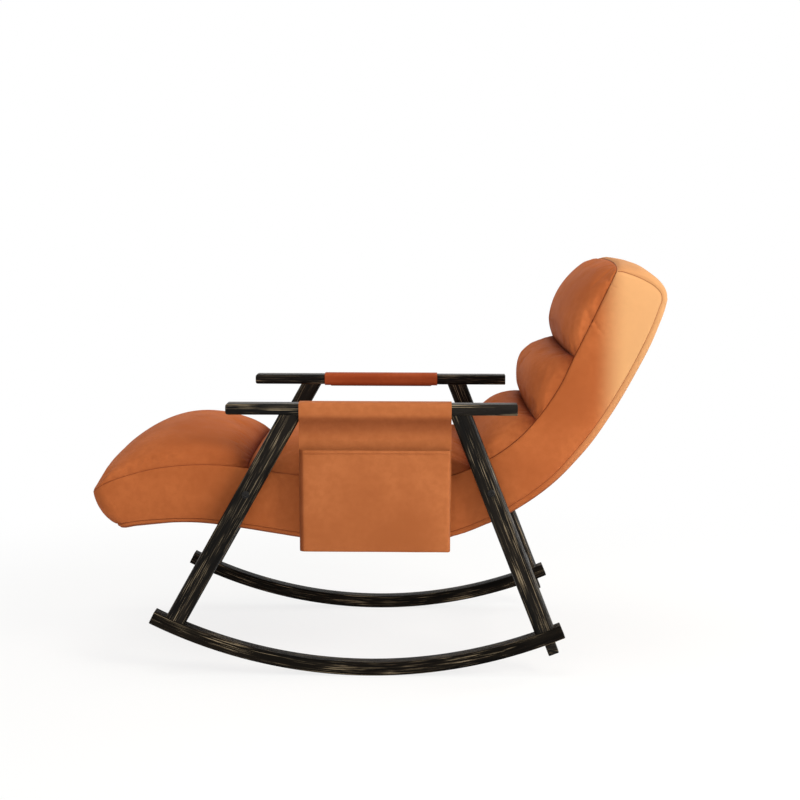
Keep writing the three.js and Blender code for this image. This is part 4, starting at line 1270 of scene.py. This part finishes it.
def closure(name, side, x1, x2, material):
    """A woven closing strip under a rail, with its corners cut round."""
    width, thickness, below_rail = 22, 1.5, 0.6 + LEATHER + 0.8
    y = side * (OUTER_FACE - BAR_WIDTH / 2 - 3)
    piece = box_of(f"{name}_strip", (x2 - x1, width, thickness))
    bevel(piece, runs_along(2), 0.006, 5)
    bevel(piece, lies_level, 0.0005, 2)
    settle(piece, at=place((x1 + x2) / 2, y, ARM_UNDERSIDE - below_rail))
    round_off(piece, 30)
    finish(piece, material, replaces=[name])


def stitches(name, starts, along, outward, length, radius, material):
    """A row of short thread stitches on the pocket: one small rounded capsule each."""
    points, faces = [], []
    along, outward = np.array(along, float), np.array(outward, float)
    side = np.cross(along, outward)
    profile = [(-0.5, 0.05), (-0.4, 0.8), (0.0, 1.0), (0.4, 0.8), (0.5, 0.05)]
    for start in starts:
        base = len(points)
        for share, width in profile:
            lift = 0.35 * radius * (1 - (2 * share) ** 2)
            for angle in np.arange(6) * math.pi / 3:
                offset = side * math.cos(angle) * width * radius + outward * (math.sin(angle) * width * radius + lift)
                points.append(np.array(start) + along * share * length + offset)
        ends = len(points) - base - 6
        faces += [tuple(base + k for k in range(6)), tuple(base + ends + k for k in range(6))]
        for ring in range(len(profile) - 1):
            for k in range(6):
                a, b = base + ring * 6 + k, base + ring * 6 + (k + 1) % 6
                faces.append((a, b, b + 6, a + 6))
    piece = facing_out(mesh_of(name, points, faces))
    round_off(piece, 70)
    return finish(piece, material, body="pocket")


# Parts inside the body

def strap(name, distance, material):
    """A webbing strap stretched across the side boards, at its true width along the curve."""
    reach, rows, columns = 253.7, 40, 9
    along = np.linspace(-WEBBING_WIDTH / 2, WEBBING_WIDTH / 2, columns)
    across = np.linspace(-reach, reach, rows)
    x, z = front_seam.at(distance + along, -WEBBING_DEPTH + 0 * along)
    along *= WEBBING_WIDTH / np.hypot(np.diff(x), np.diff(z)).sum()
    x, z = front_seam.at(distance + along, -WEBBING_DEPTH + 0 * along)
    grid = np.stack([np.tile(x, (rows, 1)), np.repeat(across[:, None], columns, axis=1), np.tile(z, (rows, 1))], axis=2)
    piece = surface(f"{name}_band", face_outward(grid, inside_body))
    thicken(piece, 2.4)
    round_off(piece)
    finish(piece, material, replaces=[name])


def foam_block(name, first, last, top, bottom, half, material):
    """A cut block of foam from first to last along the front seam, between two depths under it, slightly rounded."""
    rounding = 4.0
    turns = np.linspace(0, QUARTER_TURN, 4)
    corners = [
        (half - rounding, -top - rounding, 0), (-half + rounding, -top - rounding, 1),
        (-half + rounding, -bottom + rounding, 2), (half - rounding, -bottom + rounding, 3),
    ]
    loop = []
    for y, height, quarter in corners:
        for turn in turns + quarter * QUARTER_TURN:
            loop.append((y + rounding * math.cos(turn), height + rounding * math.sin(turn)))
    loop = np.array(loop)
    rows = np.concatenate([[first], np.linspace(first + 3, last - 3, 90), [last]])
    middle = -(top + bottom) / 2
    grid = []
    for distance in rows:
        share = 0.985 if distance in (first, last) else 1.0
        x, z = front_seam.at(distance + 0 * loop[:, 0], middle + (loop[:, 1] - middle) * share)
        grid.append(np.stack([x, loop[:, 0] * share, z], axis=1))
    grid = np.array(grid)
    count, wide = grid.shape[:2]
    faces = grid_faces(count, wide, closed=True)
    faces += [tuple(range(wide)), tuple(range((count - 1) * wide, count * wide))]
    piece = facing_out(mesh_of(f"{name}_block", grid.reshape(-1, 3), faces))
    round_off(piece)
    finish(piece, material, replaces=[name])


# Putting the chair together

set_camera()
scene.view_settings.view_transform = "Standard"

# The wall and the back share a tan with a painted highlight at the head end; the arms are greyer than the seat.
WALL_TAN = (colour(181, 102, 57), colour(158, 84, 44))
LEATHER_BODY = leather_finish("seat_leather", colour(184, 104, 59), colour(160, 85, 45))
LEATHER_WALL = leather_finish("wall_leather", *WALL_TAN, painted_highlight=(0.456, 0.53, 0.58))
LEATHER_BACK = leather_finish("back_leather", *WALL_TAN, painted_highlight=(0.33, 0.62, 0.55))
LEATHER_ARM = leather_finish("arm_leather", colour(178, 106, 63), colour(156, 88, 49), 0.8)
# Painted shade: the right sleeve is redder and darker than the seat and the arms.
SHADED_SLEEVE_LEATHER = leather_finish("sleeve_leather", colour(170, 82, 46), colour(148, 66, 35), 0.8)
# The seam cords' dark tones are painted shade in the seams and tucks; the hem thread is the pocket's thread.
SEAM_SHADE = thread_finish("seam_painted_shade", colour(104, 46, 22), colour(80, 34, 17))
SEAM_LIGHT = thread_finish("seam_paler_painted_shade", colour(140, 72, 38), colour(116, 56, 30))
STITCH_THREAD = thread_finish("hem_thread", colour(150, 80, 44), colour(120, 60, 32))
WOOD_RAIL = stained_wood("stained_wood_rail")
WOOD_LEG = {
    end: stained_wood(f"stained_wood_{end}_leg", (0, math.radians(90 - leg["lean"]), 0)) for end, leg in LEGS.items()
}
WOOD_CROSS = stained_wood("stained_wood_cross", (0, 0, QUARTER_TURN))
WOOD_RUNNER = bent_wood("stained_wood_runner")
STEEL = steel_finish()
BEECH = plain_wood("beech", colour(214, 178, 134), colour(186, 146, 102))
PLYWOOD = plain_wood("plywood", colour(206, 172, 126), colour(158, 118, 78), 160)
FOAM = foam_finish()
WEBBING = webbing_finish("webbing", colour(62, 54, 46), colour(112, 98, 80))
CLOSING_STRIP = webbing_finish("closing_strip", colour(96, 48, 26), colour(150, 84, 48))

for side_name, side in SIDES:
    runner(f"{side_name}_runner", side, WOOD_RUNNER)
    arm_rail(f"{side_name}_arm_rail", side, WOOD_RAIL)
    rear_stop(f"{side_name}_rear_stop", WOOD_RAIL)
    for end, leg in LEGS.items():
        leg_bar(f"{side_name}_{end}_leg", side, leg, WOOD_LEG[end])
        bolt_cap(f"{side_name}_{end}_seat_bolt", side, leg, STEEL)
        spacer(f"{side_name}_{end}_spacer", STEEL)
        for joint in ("arm", "foot"):
            dress(f"{side_name}_{end}_{joint}_dowel", BEECH)
    dress(f"{side_name}_stop_screw", STEEL)
    dress(f"{side_name}_side_board", PLYWOOD)
for end, leg in LEGS.items():
    stretcher(f"{end}_stretcher", leg, WOOD_CROSS)
for number, distance in enumerate(WEBBING_AT, 1):
    dress(f"cross_batten_{number}", BEECH)
    strap(f"webbing_strap_{number}", distance, WEBBING)
foam_block("foam_deck", first=36, last=front_seam.length - 36, top=1.5, bottom=41.3, half=255, material=FOAM)
foam_block("footrest_core", first=104, last=324, top=42.6, bottom=92, half=237, material=FOAM)

for pad_name, sizes in PADS.items():
    top = uneven(face_outward(doubled(pad_grid(sizes)), inside_body), amount=1.4, size=95, seed=3)
    top = folded(plumped(top, cap=3.0, spare=0.012), PAD_FOLDS.get(pad_name, []))
    pad = closed_pad(f"{pad_name}_leather", top, sizes["start"] == 0, sizes["end"] == front_seam.length)
    finish(pad, LEATHER_BODY, replaces=[pad_name])

wall = uneven(face_outward(doubled(boxing_grid()), inside_body), amount=1.0, size=70, seed=5)
boxing = padded_sheet("side_boxing", folded(wall, WALL_FOLDS), thickness=10)
walls = ["left_side_wall", "right_side_wall", "foot_end_wall"]
finish(boxing, LEATHER_WALL, replaces=walls)
back = uneven(face_outward(cover_grid(), inside_body), amount=1.6, size=110, seed=8)
cover = padded_sheet("back_cover", plumped(back, cap=1.0, spare=0.004), thickness=5)
finish(cover, LEATHER_BACK, replaces=["back_panel", "head_end_wall"])
body_seams(SEAM_SHADE, SEAM_LIGHT)

left_wrap_and_panel(LEATHER_ARM)
pouch(LEATHER_ARM, STITCH_THREAD)
right_sleeve(SHADED_SLEEVE_LEATHER)
closure("left_wrap_closure", LEFT, x1=-124, x2=150, material=CLOSING_STRIP)
closure("right_sleeve_closure", RIGHT, x1=-120, x2=129, material=CLOSING_STRIP)

studio()
